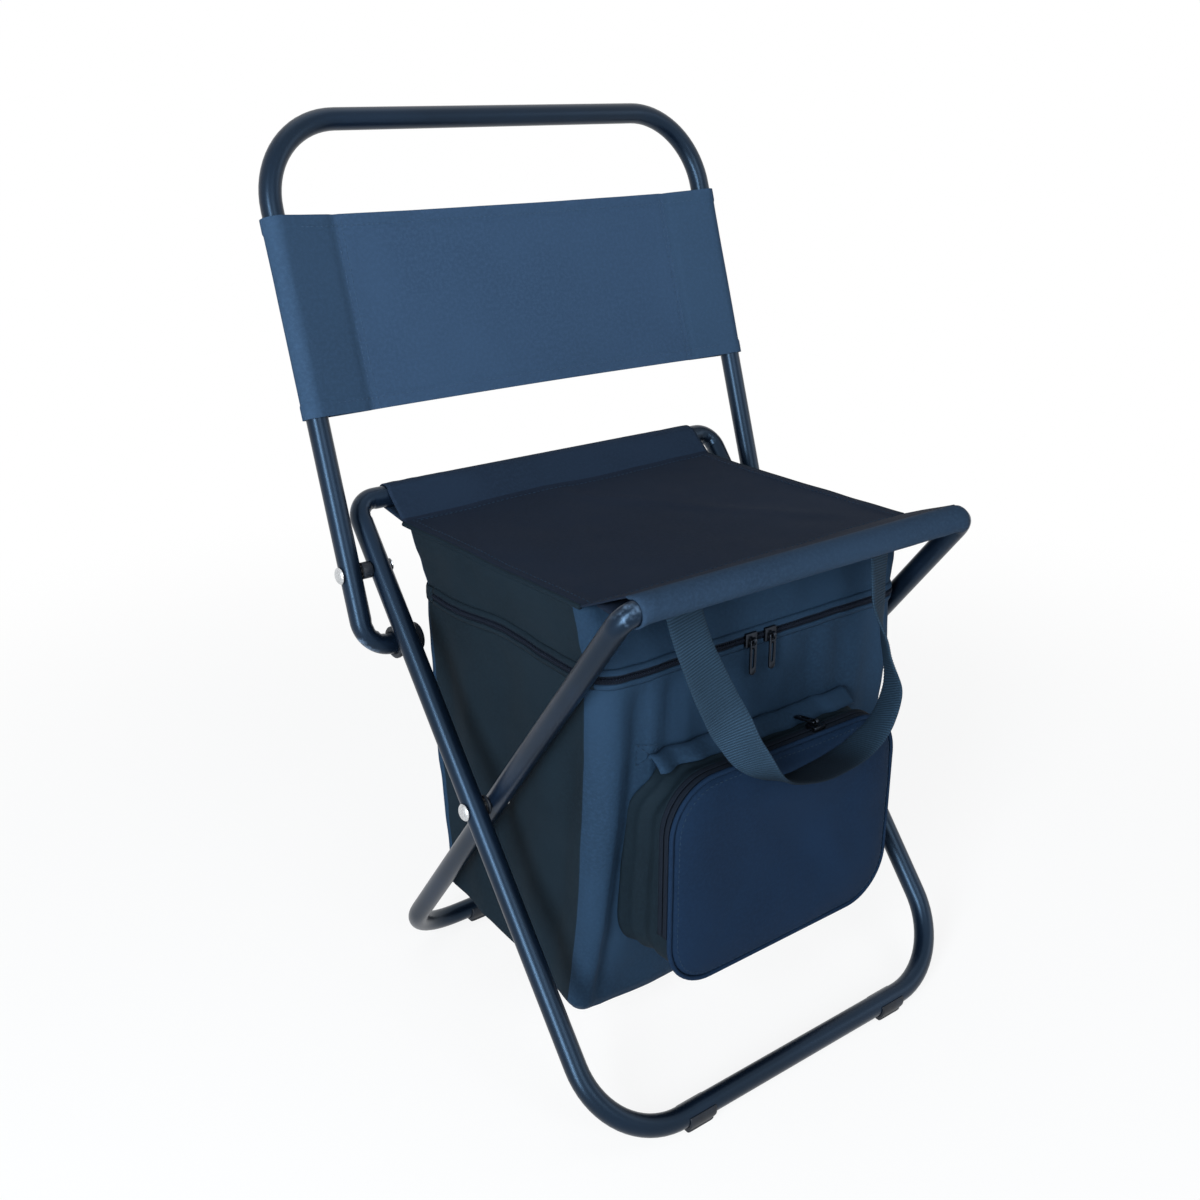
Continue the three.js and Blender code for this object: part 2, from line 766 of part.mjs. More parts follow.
// The lid's insulating sheet lies under the seat cloth, inside the band.
function lidLiner() {
  const inset = bandWall + fitGap;
  const low = seatHeight - seatThickness - seatSag - lidWall - fitGap;
  const block = skin([bandRing(low, inset), bandRing(bandTopHeight, inset)]);
  const below = new THREE.Shape();
  const curve = seatCurve(frontSeam.x, rearSeam.x, -seatThickness - fitGap - lidWall);
  const ends = [curve[0], curve[sagSteps]];
  below.moveTo(frontRail.x, zipHeight);
  below.lineTo(rearRail.x, zipHeight);
  below.lineTo(rearRail.x, ends[1].y);
  curve.toReversed().forEach((point) => below.lineTo(point.x, point.y));
  below.lineTo(frontRail.x, ends[0].y);
  return cut(block, aboveSeatTool(), acrossChair(below, -outerHalfWidth, outerHalfWidth));
}
addPiece("lid_liner", lidLiner(), foil);

// A zip in section: its tape, flush with the cloth, and the coil that stands on it
function zipSection(width) {
  const section = new THREE.Shape();
  section.moveTo(-tapeThickness, -width / 2);
  section.lineTo(0, -width / 2);
  section.lineTo(0, -coilRadius);
  section.absarc(0, 0, coilRadius, -Math.PI / 2, Math.PI / 2, false);
  section.lineTo(0, width / 2);
  section.lineTo(-tapeThickness, width / 2);
  return section;
}

const zipStop = bagZipRearDepth - mainZipRearStop;

function mainZipper() {
  const corners = [
    [bagHalfWidth, zipStop],
    [bagHalfWidth, -bagZipFrontDepth],
    [-bagHalfWidth, -bagZipFrontDepth],
    [-bagHalfWidth, zipStop],
  ];
  const path = new BentPath(corners, [0, bagCorner, bagCorner, 0]);
  return sweep(zipSection(mainTapeWidth), path, domeSteps / 2).translate(0, 0, zipHeight);
}
addPiece("main_zipper", mainZipper(), tapeCloth);

// Behind the zip's two ends a cloth strip joins the band and the shell.
function hingeStrip() {
  const corners = [
    [-bagHalfWidth, zipStop + fitGap],
    [-bagHalfWidth, bagZipRearDepth],
    [bagHalfWidth, bagZipRearDepth],
    [bagHalfWidth, zipStop + fitGap],
  ];
  const section = new THREE.Shape();
  section.moveTo(-clothWall, -mainTapeWidth / 2);
  section.lineTo(0, -mainTapeWidth / 2);
  section.lineTo(0, mainTapeWidth / 2);
  section.lineTo(-clothWall, mainTapeWidth / 2);
  const path = new BentPath(corners, [0, bagCorner, bagCorner, 0]);
  return sweep(section, path, 1).translate(0, 0, zipHeight);
}
addPiece("bag_hinge_strip", hingeStrip(), bagCloth);

// A slider rides over the coil, with a bail that holds its pull. Drawn with the tape as its floor:
// X runs along the zip and Z out of the cloth.
const sliderTop = coilRadius + fitGap + sliderRoof;
const bailAxis = sliderTop + bailRadius - bailSink;

function slider() {
  const groove = coilRadius + fitGap;
  const profile = new THREE.Shape();
  profile.moveTo(-sliderHalfWidth, fitGap);
  profile.lineTo(-groove, fitGap);
  profile.lineTo(-groove, groove);
  profile.lineTo(groove, groove);
  profile.lineTo(groove, fitGap);
  profile.lineTo(sliderHalfWidth, fitGap);
  profile.lineTo(sliderHalfWidth, sliderTop);
  profile.lineTo(-sliderHalfWidth, sliderTop);
  const body = acrossChair(profile, -sliderLength / 2, sliderLength / 2);
  const bail = acrossChair(circle(bailRadius, bailHole), -bailWidth / 2, bailWidth / 2);
  return join(body, bail.translate(0, 0, bailAxis));
}

// A pull is a flat tab that hangs from the bail by its eye; its origin is the bail's axis.
function pull(length) {
  const bar = pullThickness / 2;
  const outline = new THREE.Shape();
  const foot = bar - length;
  outline.moveTo(-pullWidth / 2, bar);
  outline.lineTo(-pullWidth / 2, foot + pullWidth / 2);
  outline.absarc(0, foot + pullWidth / 2, pullWidth / 2, Math.PI, 2 * Math.PI, false);
  outline.lineTo(pullWidth / 2, bar);
  const eye = new THREE.Path();
  eye.moveTo(-pullEyeWidth / 2, -bar);
  eye.lineTo(pullEyeWidth / 2, -bar);
  eye.lineTo(pullEyeWidth / 2, -bar - pullEyeLength);
  eye.lineTo(-pullEyeWidth / 2, -bar - pullEyeLength);
  const slotTop = -bar - pullEyeLength - pullSlotFromEye;
  const slotLow = Math.max(slotTop - pullSlotLength, foot + pullWidth);
  const slot = new THREE.Path();
  slot.absarc(0, slotLow, pullSlotWidth / 2, Math.PI, 2 * Math.PI, false);
  slot.absarc(0, slotTop, pullSlotWidth / 2, 0, Math.PI, false);
  outline.holes.push(eye, slot);
  const tab = new THREE.ExtrudeGeometry(outline, {
    depth: pullThickness,
    bevelEnabled: false,
    curveSegments: domeSteps,
  });
  return tab.translate(0, 0, -pullThickness / 2);
}

function addSlider(prefix, suffix, seat, pullLengthHere, tilt) {
  addPiece(`${prefix}_slider${suffix}`, slider(), darkMetal, seat);
  const tab = addPiece(`${prefix}_pull${suffix}`, pull(pullLengthHere), darkMetal, seat);
  tab.position.z = bailAxis;
  tab.rotation.x = tilt;
}

for (const [suffix, place] of [["_left", leftSliderPlace], ["_right", rightSliderPlace]]) {
  const seat = new THREE.Group();
  seat.position.set(place, -bagZipFrontDepth, zipHeight);
  seat.rotation.x = Math.PI / 2;
  chair.add(seat);
  addSlider("main", suffix, seat, pullLength, 0);
}

// Pocket: drawn lying on its back, with Y up the bag and Z out of it, then stood up.
const pocketTop = pocketBottom + pocketHeight;
const pocketFace = -bagAt(pocketTop).front + pocketDepth;
const pocketLeft = pocketOffset - pocketWidth / 2;
const pocketRight = pocketOffset + pocketWidth / 2;

function pocketRing(inset, out) {
  return roundedRing(
    pocketLeft + inset,
    pocketRight - inset,
    pocketBottom + inset,
    pocketTop - inset,
    pocketCorner - inset,
    out,
  );
}

const standUp = (geometry) => geometry.rotateX(Math.PI / 2);

// The gusset runs from the bag's face to the pocket's, and its rear edge follows the bag.
function pocketShell() {
  const rings = [
    pocketRing(0, 0),
    pocketRing(0, pocketFace),
    pocketRing(gussetWall, pocketFace),
    pocketRing(gussetWall, 0),
  ];
  const heights = bagBreaks.map((entry) => entry.height);
  const bagBody = skin(heights.map((height) => bagRing(height, -fitGap)));
  return cut(standUp(skin(rings, true)), bagBody);
}
addPiece("pocket_shell", pocketShell(), pocketCloth);

const faceBack = pocketFace + fitGap;
const faceFront = faceBack + pocketFaceWall;

function pocketFront() {
  const crownSteps = Array.from({ length: domeSteps + 1 }, (_, step) => {
    const angle = (step / domeSteps) * (Math.PI / 2);
    return pocketRing(pocketCrownInset * (1 - Math.cos(angle)), faceFront + pocketCrown * Math.sin(angle));
  });
  return standUp(skin([pocketRing(0, faceBack), ...crownSteps]));
}
addPiece("pocket_front", pocketFront(), pocketCloth);

// A loop round the pocket, outside its outline by an offset, that starts at the bottom's middle
function roundPocket(offset) {
  const left = pocketLeft - offset;
  const right = pocketRight + offset;
  const corners = [
    [pocketOffset - buttGap / 2, pocketBottom - offset],
    [left, pocketBottom - offset],
    [left, pocketTop + offset],
    [right, pocketTop + offset],
    [right, pocketBottom - offset],
    [pocketOffset + buttGap / 2, pocketBottom - offset],
  ];
  const bend = pocketCorner + offset;
  return new BentPath(corners, [0, bend, bend, bend, bend, 0]);
}

function pocketPiping() {
  const piping = sweep(circle(pipingRadius), roundPocket(pipingRadius + fitGap), domeSteps);
  return standUp(piping.translate(0, 0, (faceBack + faceFront) / 2));
}
addPiece("pocket_piping", pocketPiping(), pocketCloth);

// The pocket's zip lies on the gusset, just behind the piping, up one side, over the top and down.
const pocketTapeFloor = fitGap + tapeThickness;
const pocketZipOut =
  (faceBack + faceFront) / 2 - pipingRadius - pocketTapeFromPiping - pocketTapeWidth / 2;

function pocketZipper() {
  const left = pocketLeft - pocketTapeFloor;
  const right = pocketRight + pocketTapeFloor;
  const start = pocketBottom + pocketCorner + pocketZipStart;
  const corners = [
    [left, start],
    [left, pocketTop + pocketTapeFloor],
    [right, pocketTop + pocketTapeFloor],
    [right, start],
  ];
  const bend = pocketCorner + pocketTapeFloor;
  const zip = sweep(zipSection(pocketTapeWidth), new BentPath(corners, [0, bend, bend, 0]), domeSteps / 2);
  return standUp(zip.translate(0, 0, pocketZipOut));
}
addPiece("pocket_zipper", pocketZipper(), tapeCloth);

const pocketSeat = new THREE.Group();
pocketSeat.position.set(pocketSliderPlace, -pocketZipOut, pocketTop + pocketTapeFloor);
pocketSeat.rotation.z = Math.PI;
chair.add(pocketSeat);
addSlider("pocket", "", pocketSeat, pocketPullLength, degrees(pocketPullTiltDegrees));

// The carry handle: webbing sewn under the seat's front, which hangs in a loop before the pocket.
class StrapPath extends THREE.CatmullRomCurve3 {
  computeFrenetFrames(steps) {
    const widths = new THREE.CatmullRomCurve3(strapWidthShares.map((share) => new THREE.Vector3(...share)));
    const tangents = [];
    const normals = [];
    const binormals = [];
    for (let step = 0; step <= steps; step++) {
      const tangent = this.getTangentAt(step / steps);
      const across = widths.getPointAt(step / steps);
      across.addScaledVector(tangent, -across.dot(tangent)).normalize();
      tangents.push(tangent);
      binormals.push(across);
      normals.push(across.clone().cross(tangent));
    }
    return { tangents, normals, binormals };
  }
}

const strapTop = seatHeight - seatThickness - strapTopBelowSeat;
const strapHang = frontRail.x + strapBehindRail;
const strapReach = faceFront + pocketCrown + strapFromPocket + strapHang;

function carryHandle() {
  const points = strapRouteShares.map(
    ([across, down, forward]) =>
      new THREE.Vector3(strapHalfSpan * across, strapHang - strapReach * forward, strapTop - strapDrop * down),
  );
  const section = new THREE.Shape();
  section.moveTo(-strapThickness / 2, -strapWidth / 2);
  section.lineTo(strapThickness / 2, -strapWidth / 2);
  section.lineTo(strapThickness / 2, strapWidth / 2);
  section.lineTo(-strapThickness / 2, strapWidth / 2);
  return new THREE.ExtrudeGeometry(section, { steps: strapSteps, extrudePath: new StrapPath(points) });
}
addPiece("carry_handle", carryHandle(), webbing);

// Centre the chair's box over the origin.
const box = new THREE.Box3().setFromObject(chair, true);
chair.position.y = -(box.min.y + box.max.y) / 2;

export default chair;
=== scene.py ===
import json
import math
from bisect import bisect_left

import bmesh
import bpy
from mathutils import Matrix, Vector, noise


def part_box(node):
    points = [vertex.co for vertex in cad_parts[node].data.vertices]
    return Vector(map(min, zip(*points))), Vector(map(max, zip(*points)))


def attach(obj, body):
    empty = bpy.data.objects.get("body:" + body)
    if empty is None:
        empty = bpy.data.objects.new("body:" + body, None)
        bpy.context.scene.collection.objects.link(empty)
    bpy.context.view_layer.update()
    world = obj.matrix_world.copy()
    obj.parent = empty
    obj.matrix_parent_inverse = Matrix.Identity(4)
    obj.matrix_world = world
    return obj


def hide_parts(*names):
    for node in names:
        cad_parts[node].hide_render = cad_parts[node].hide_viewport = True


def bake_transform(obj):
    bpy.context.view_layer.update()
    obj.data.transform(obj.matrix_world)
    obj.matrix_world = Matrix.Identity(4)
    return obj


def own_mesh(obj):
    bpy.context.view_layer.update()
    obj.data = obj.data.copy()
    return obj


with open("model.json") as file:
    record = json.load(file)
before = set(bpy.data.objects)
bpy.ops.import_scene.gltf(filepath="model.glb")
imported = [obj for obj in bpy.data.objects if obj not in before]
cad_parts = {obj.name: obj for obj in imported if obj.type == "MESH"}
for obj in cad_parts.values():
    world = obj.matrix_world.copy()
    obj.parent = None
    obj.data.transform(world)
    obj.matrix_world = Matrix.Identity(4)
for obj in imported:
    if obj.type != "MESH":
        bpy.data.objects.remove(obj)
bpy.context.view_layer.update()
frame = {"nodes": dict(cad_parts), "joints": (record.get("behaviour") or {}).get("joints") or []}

MM = 0.001
both_sides = (("left", -1), ("right", 1))


def joint_place(name):
    place = next(joint["pos_m"] for joint in frame["joints"] if joint["name"] == name)
    return Vector(place) / MM


pivot = joint_place("leg_fold")
back_pivot = joint_place("back_fold")
handle_top = joint_place("handle_swing")

# Tube frames
tube_radius = 7
outer_half_width = 153
inner_half_width = 137
back_half_width = 174
outer_leg_degrees = 51.4
back_lean_degrees = 18.05
outer_below = 219.5
outer_above = 211.5
inner_below = 216.5
rail_height = 9.6
back_above = 281
outer_ground_bend = 55
inner_ground_bend = 47
back_top_bend = 54
seat_rail_bend = 14
hook_bend = 19
hook_cap_radius = 10
fit_gap = 0.3
hook_end = 139
crimp_depth = 0.9
outer_angle = math.radians(outer_leg_degrees)
inner_angle = math.asin((pivot.z - rail_height) / inner_below)
back_angle = math.pi / 2 - math.radians(back_lean_degrees)
inner_above = outer_above * math.sin(outer_angle) / math.sin(inner_angle)
hook_drop = (hook_cap_radius + tube_radius + fit_gap) / math.sin(back_angle - outer_angle)

# Cloth and thread
cloth_wall = 1.1
sleeve_radius = 7.95
thread_pitch = 0.9
hem_width = 9
stitch_length = 2.6
stitch_pitch = stitch_length + 1.1
stitch_radius = 0.28
stitch_shape_shares = ((0, 0.3), (0.18, 0.9), (0.5, 1.0), (0.82, 0.9), (1, 0.3))


# Camera and light

camera_lens = 40.67
camera_place = Vector((-540.65, pivot.y - 627.65, 601.29))
camera_tilt_degrees = 68.96
camera_turn_degrees = -37.72


def add_object(name, data):
    made = bpy.data.objects.new(name, data)
    bpy.context.scene.collection.objects.link(made)
    return made


def add_camera():
    data = bpy.data.cameras.new("camera")
    data.lens = camera_lens
    data.sensor_width = 36
    camera = add_object("camera", data)
    camera.location = camera_place * MM
    camera.rotation_euler = (math.radians(camera_tilt_degrees), 0, math.radians(camera_turn_degrees))
    bpy.context.scene.camera = camera


def add_lights():
    """Soft rectangular lamps, all aimed at the middle of the chair"""
    middle = Vector((0, 0, 0.3))
    for name, place, size, power, colour in (
        ("key_light", (-0.3, -2.1, 1.3), (1.1, 1.0), 15, (0.96, 0.98, 1)),
        ("left_strip", (-1.7, -0.98, 0.75), (0.45, 1.5), 58, (0.86, 0.94, 1)),
        ("right_fill", (1.8, -1.3, 0.9), (1.0, 1.0), 5, (0.9, 0.95, 1)),
        ("top_soft", (0.2, 0.4, 2.3), (1.6, 1.6), 6, (0.94, 0.97, 1)),
    ):
        data = bpy.data.lights.new(name, "AREA")
        data.shape = "RECTANGLE"
        data.size, data.size_y = size
        data.energy = power
        data.color = colour
        lamp = add_object(name, data)
        lamp.location = place
        lamp.rotation_euler = (middle - Vector(place)).to_track_quat("-Z", "Y").to_euler()


# Node materials


class Nodes:
    """Adds shader nodes to a tree. Each input is a value, or the socket of another node."""

    def __init__(self, tree):
        self.tree = tree

    def fill(self, node, inputs):
        for key, value in inputs.items():
            if isinstance(value, bpy.types.NodeSocket):
                self.tree.links.new(value, node.inputs[key])
            else:
                node.inputs[key].default_value = value
        return node

    def add(self, kind, inputs=None, **settings):
        node = self.tree.nodes.new("ShaderNode" + kind)
        for key, value in settings.items():
            setattr(node, key, value)
        return self.fill(node, inputs or {})

    def math(self, operation, first, second=0.0):
        return self.add("Math", {0: first, 1: second}, operation=operation).outputs[0]

    def times(self, value, factor, base=0.0):
        product = self.math("MULTIPLY", value, factor)
        return self.math("ADD", product, base) if base else product

    def white_rays(self):
        """1 for rays that show the white surroundings: from the camera, off gloss and through glass"""
        rays = self.add("LightPath").outputs
        seen = self.math("MAXIMUM", rays["Is Camera Ray"], rays["Is Glossy Ray"])
        return self.math("MAXIMUM", seen, rays["Is Transmission Ray"])

    def finish_surface(self, share, first, second, output):
        mixed = self.add("MixShader", {0: share, 1: first.outputs[0], 2: second.outputs[0]})
        self.tree.links.new(mixed.outputs[0], self.tree.nodes[output].inputs["Surface"])


class Finish(Nodes):
    """A material with one Principled shader"""

    def __init__(self, name, colour, roughness, metallic=0.0, specular=0.5):
        self.material = bpy.data.materials.new(name)
        self.material.use_nodes = True
        super().__init__(self.material.node_tree)
        self.shader = self.tree.nodes["Principled BSDF"]
        self.paint({"Base Color": (*colour, 1), "Roughness": roughness, "Metallic": metallic})
        self.paint({"Specular IOR Level": specular})

    def paint(self, inputs):
        self.fill(self.shader, inputs)

    def noise(self, place, scale, detail=2.0, roughness=0.5):
        inputs = {"Vector": place, "Scale": scale, "Detail": detail, "Roughness": roughness}
        return self.add("TexNoise", inputs).outputs["Fac"]

    def mix(self, share, *colours):
        first, second = (c if isinstance(c, bpy.types.NodeSocket) else (*c, 1) for c in colours)
        return self.add("Mix", {0: share, 6: first, 7: second}, data_type="RGBA").outputs[2]

    def ramp(self, value, low, high):
        return self.add("MapRange", {0: value, 1: low, 2: high}, interpolation_type="SMOOTHSTEP").outputs[0]

    def vary(self, value, low, high, first, second):
        return self.mix(self.ramp(value, low, high), first, second)

    def uv(self):
        return self.add("UVMap", uv_map="cloth").outputs[0]

    def place(self):
        return self.add("TexCoord").outputs["Object"]

    def attribute(self, name):
        return self.add("Attribute", attribute_name=name).outputs["Fac"]

    def bump(self, height, distance, strength):
        inputs = {"Height": height, "Distance": distance, "Strength": strength}
        self.paint({"Normal": self.add("Bump", inputs).outputs[0]})


def scaled(colour, factor):
    return tuple(channel * factor for channel in colour)


def cloth_finish(name, colour, contrast, pitch=thread_pitch):
    """Plain woven polyester: threads over and under each other, in an uneven dye"""
    finish = Finish(name, colour, 0.8, specular=0.06)
    uv = finish.uv()
    parts = finish.add("SeparateXYZ", {0: uv}).outputs
    warp, weft = (finish.math("SINE", finish.times(parts[i], 2 * math.pi / (pitch * MM))) for i in (0, 1))
    weave = finish.math("MULTIPLY", warp, weft)
    slub = finish.noise(uv, 420, 2, 0.7)
    deep = scaled(colour, 1 - contrast)
    pale = scaled(colour, 1 + contrast)
    dye = finish.vary(finish.noise(uv, 9, 3), 0.3, 0.7, deep, pale)
    thread = finish.vary(slub, 0.35, 0.75, dye, scaled(colour, 1.2))
    # Painted highlight: the raised crossings of the weave are painted paler
    relief_light_and_shade = finish.times(finish.ramp(weave, -0.2, 1.0), 0.35)
    finish.paint({"Base Color": finish.mix(relief_light_and_shade, thread, scaled(colour, 1.7))})
    finish.bump(finish.math("ADD", finish.times(weave, 0.5), finish.times(slub, 0.7)), 0.00012, 0.6)
    return finish.material


def paint_finish():
    """Powder coat with a fine orange peel, and a painted highlight at the crimped bends"""
    colour = (0.0025, 0.0055, 0.012)
    finish = Finish("frame_paint", colour, 0.33, specular=0.36)
    finish.paint({"Specular Tint": (0.4, 0.66, 1, 1)})
    place = finish.place()
    peel = finish.noise(place, 900)
    tone = finish.vary(finish.noise(place, 14, 3), 0.35, 0.7, scaled(colour, 0.8), scaled(colour, 1.4))
    scuffs = finish.ramp(finish.noise(place, 260, 4, 0.7), 0.66, 0.78)
    # Painted highlight: pale blue-grey paint on the outer side of the crimped bends
    bend_highlight_share = finish.math("MULTIPLY", finish.attribute("wear"), finish.noise(place, 160, 3))
    shade = finish.mix(finish.times(scuffs, 0.2), tone, (0.01, 0.016, 0.03))
    finish.paint({"Base Color": finish.vary(bend_highlight_share, 0.34, 0.6, shade, (0.07, 0.11, 0.17))})
    rough = finish.math("ADD", finish.times(peel, 0.08, 0.28), finish.times(scuffs, 0.2))
    finish.paint({"Roughness": rough})
    finish.bump(peel, 0.00006, 0.2)
    return finish.material


def plastic_finish():
    finish = Finish("black_plastic", (0.006, 0.008, 0.012), 0.5, specular=0.25)
    place = finish.place()
    grain = finish.noise(place, 1400)
    cloud = finish.noise(place, 60, 3)
    finish.paint({"Base Color": finish.vary(cloud, 0.4, 0.7, (0.005, 0.007, 0.011), (0.012, 0.016, 0.024))})
    finish.paint({"Roughness": finish.times(grain, 0.15, 0.42)})
    finish.bump(grain, 0.00005, 0.5)
    return finish.material


def steel_finish(name, colour, roughness):
    finish = Finish(name, colour, roughness, metallic=1.0)
    brushed = finish.noise(finish.place(), 1100, 3)
    finish.paint({"Base Color": finish.vary(brushed, 0.3, 0.7, scaled(colour, 0.7), colour)})
    finish.paint({"Roughness": finish.times(brushed, 0.2, roughness - 0.08)})
    finish.bump(brushed, 0.00003, 0.4)
    return finish.material


def webbing_finish():
    """Ribbed webbing, with painted shade in the grip where it turns over"""
    colour = (0.016, 0.035, 0.059)
    finish = Finish("webbing", colour, 0.8, specular=0.1)
    uv = finish.uv()
    along = finish.add("SeparateXYZ", {0: uv}).outputs[0]
    cord = finish.math("SINE", finish.times(along, 2 * math.pi / (1.1 * MM)))
    fuzz = finish.noise(uv, 700, 2, 0.7)
    tone = finish.vary(finish.noise(uv, 25, 3), 0.3, 0.7, scaled(colour, 0.75), scaled(colour, 1.2))
    # Painted shade: the troughs between the ribs are painted darker
    relief_light_and_shade = finish.vary(finish.attribute("rib"), 0.1, 0.95, scaled(colour, 0.35), tone)
    worn = finish.mix(finish.times(fuzz, 0.3), relief_light_and_shade, scaled(colour, 1.9))
    # Painted shade: the grip at the bottom of the loop is painted near black
    finish.paint({"Base Color": finish.mix(finish.attribute("grip"), worn, (0.002, 0.005, 0.009))})
    finish.bump(finish.math("ADD", cord, fuzz), 0.00010, 0.5)
    return finish.material


def thread_finish(name, colour):
    finish = Finish(name, colour, 0.7, specular=0.1)
    twist = finish.noise(finish.place(), 1500)
    finish.paint({"Base Color": finish.mix(twist, scaled(colour, 0.6), scaled(colour, 1.3))})
    finish.bump(twist, 0.00008, 0.6)
    return finish.material


def foil_finish():
    finish = Finish("foil_lining", (0.62, 0.64, 0.65), 0.3, metallic=0.8)
    crinkle = finish.noise(finish.uv(), 160, 4, 0.6)
    finish.paint({"Base Color": finish.mix(crinkle, (0.45, 0.47, 0.49), (0.72, 0.74, 0.76))})
    finish.bump(crinkle, 0.0006, 0.6)
    return finish.material


def floor_finish():
    """A pale floor that the camera sees as white, apart from the chair's shadow"""
    finish = Finish("floor", (0.93, 0.93, 0.93), 0.9, specular=0.1)
    glow = finish.add("Emission", {"Color": (1, 1, 1, 1), "Strength": 1.0})
    away = finish.add("VectorMath", {0: finish.place()}, operation="LENGTH").outputs["Value"]
    share = finish.times(finish.ramp(away, 0.4, 1.2), 0.15, 0.85)
    lit = finish.math("MULTIPLY", finish.white_rays(), share)
    finish.finish_surface(lit, finish.shader, glow, "Material Output")
    return finish.material


def add_world():
    world = bpy.data.worlds.new("world")
    bpy.context.scene.world = world
    world.use_nodes = True
    nodes = Nodes(world.node_tree)
    shade = nodes.tree.nodes["Background"]
    nodes.fill(shade, {"Color": (0.92, 0.96, 1.0, 1), "Strength": 0.3})
    white = nodes.add("Background", {"Color": (1, 1, 1, 1)})
    nodes.finish_surface(nodes.white_rays(), shade, white, "World Output")


cloths = {
    "back": ("back_cloth", (0.026, 0.052, 0.097), 0.07),
    # Painted shade: a darker copy of the back cloth for the strips beyond the seams
    "shaded_back_sleeve": ("back_sleeve_cloth_shaded", (0.023, 0.047, 0.086), 0.07),
    # Painted light and shade: one seat cloth in three copies, darkest on the top, paler on the front sleeve,
    # between on the rear sleeve
    "seat": ("seat_cloth", (0.0070, 0.0118, 0.0225), 0.16),
    "lit_front_sleeve": ("front_sleeve_cloth_lit", (0.016, 0.032, 0.058), 0.16),
    "shaded_rear_sleeve": ("rear_sleeve_cloth_shaded", (0.010, 0.019, 0.036), 0.16),
    "bag": ("bag_cloth", (0.0120, 0.028, 0.053), 0.16),
    # Painted shade: a darker copy of the bag cloth for the sides, the rear and the trims there
    "side": ("bag_side_cloth_shaded", (0.0055, 0.0110, 0.0165), 0.2),
    "pocket": ("pocket_cloth", (0.0050, 0.0140, 0.033), 0.14),
    "tape": ("zip_tape", (0.006, 0.009, 0.015), 0.1, 0.6),
}
finishes = {
    "paint": paint_finish(),
    "plastic": plastic_finish(),
    "rivet": steel_finish("rivet_steel", (0.66, 0.68, 0.70), 0.26),
    "slider": steel_finish("slider_metal", (0.035, 0.042, 0.055), 0.34),
    **{key: cloth_finish(*cloth) for key, cloth in cloths.items()},
    "coil": thread_finish("zip_coil", (0.003, 0.006, 0.013)),
    "webbing": webbing_finish(),
    "thread": thread_finish("bag_thread", (0.012, 0.027, 0.050)),
    "pale_thread": thread_finish("back_thread", (0.036, 0.070, 0.122)),
    "foil": foil_finish(),
    "board": plastic_finish(),
}


# Meshes


def measured(points):
    """Distance along a line of points, at each of them"""
    lengths = [0.0]
    for a, b in zip(points, points[1:]):
        lengths.append(lengths[-1] + (b - a).length)
    return lengths


def stretch(lengths, distance):
    """The stretch of a measured line that a distance falls in, and its share of that stretch"""
    i = bisect_left(lengths, distance, 1, len(lengths) - 1) - 1
    return i, (distance - lengths[i]) / max(lengths[i + 1] - lengths[i], 1e-9)


def between(line, lengths, distance):
    """Place and direction at a distance along a line of stations that start with both"""
    i, share = stretch(lengths, distance)
    first, second = line[i], line[i + 1]
    return first[0].lerp(second[0], share), first[1].lerp(second[1], share).normalized()


class Builder:
    """Collects points, faces and cloth coordinates in millimetres, and makes one mesh of them."""

    def __init__(self):
        self.points = []
        self.faces = []
        self.uvs = []
        self.values = {}

    def grid(self, rows, around=False):
        """Faces between rows of points. The cloth coordinates run along the rows and from row to row."""
        start = len(self.points)
        count = len(rows[0])
        for row in rows:
            self.points.extend(row)
        middle = rows[len(rows) // 2]
        along = measured([*middle, middle[0]])
        down = measured([row[count // 2] for row in rows])
        for r in range(len(rows) - 1):
            for c in range(count if around else count - 1):
                n = (c + 1) % count
                low = start + r * count
                high = low + count
                self.faces.append((low + c, low + n, high + n, high + c))
                corners = ((c, r), (c + 1, r), (c + 1, r + 1), (c, r + 1))
                self.uvs.append([(along[i], down[j]) for i, j in corners])
        return start

    def fan(self, first, count):
        """One many-sided face on a ring of points that is already there"""
        ring = range(first, first + count)
        self.faces.append(tuple(ring))
        self.uvs.append([(self.points[i].x, self.points[i].y + self.points[i].z) for i in ring])

    def loft(self, rings, closed=False):
        """Rings joined into a skin that closes on itself, or whose ends are filled"""
        start = self.grid([*rings, rings[0]] if closed else rings, around=True)
        count = len(rings[0])
        if not closed:
            self.fan(start, count)
            self.fan(start + (len(rings) - 1) * count, count)

    def tube(self, path, section, closed=False):
        """Rings of a section along a path of (point, tangent, first normal, size)"""
        rings = []
        for point, tangent, normal, size in path:
            other = tangent.cross(normal).normalized()
            rings.append([point + (normal * x + other * y) * size for x, y in section])
        self.loft(rings, closed)

    def make(self, name, finish):
        mesh = bpy.data.meshes.new(name)
        mesh.from_pydata([point * MM for point in self.points], [], self.faces)
        layer = mesh.uv_layers.new(name="cloth")
        for entry, (u, v) in zip(layer.data, (pair for face in self.uvs for pair in face)):
            entry.uv = (u * MM, v * MM)
        for title, values in self.values.items():
            attribute = mesh.attributes.new(title, "FLOAT", "POINT")
            for entry, value in zip(attribute.data, values):
                entry.value = value
        mesh.materials.append(finishes[finish])
        tidy_mesh(mesh)
        return add_object(name, mesh)


def skin(name, rows, finish, around=False):
    builder = Builder()
    builder.grid(rows, around)
    return builder.make(name, finish)


def solid(name, rings, finish, closed=False, **marks):
    """A piece lofted through rings, with values for their points that its material reads"""
    builder = Builder()
    builder.loft(rings, closed)
    for title, rows in marks.items():
        builder.values[title] = [value for row in rows for value in row]
    return builder.make(name, finish)


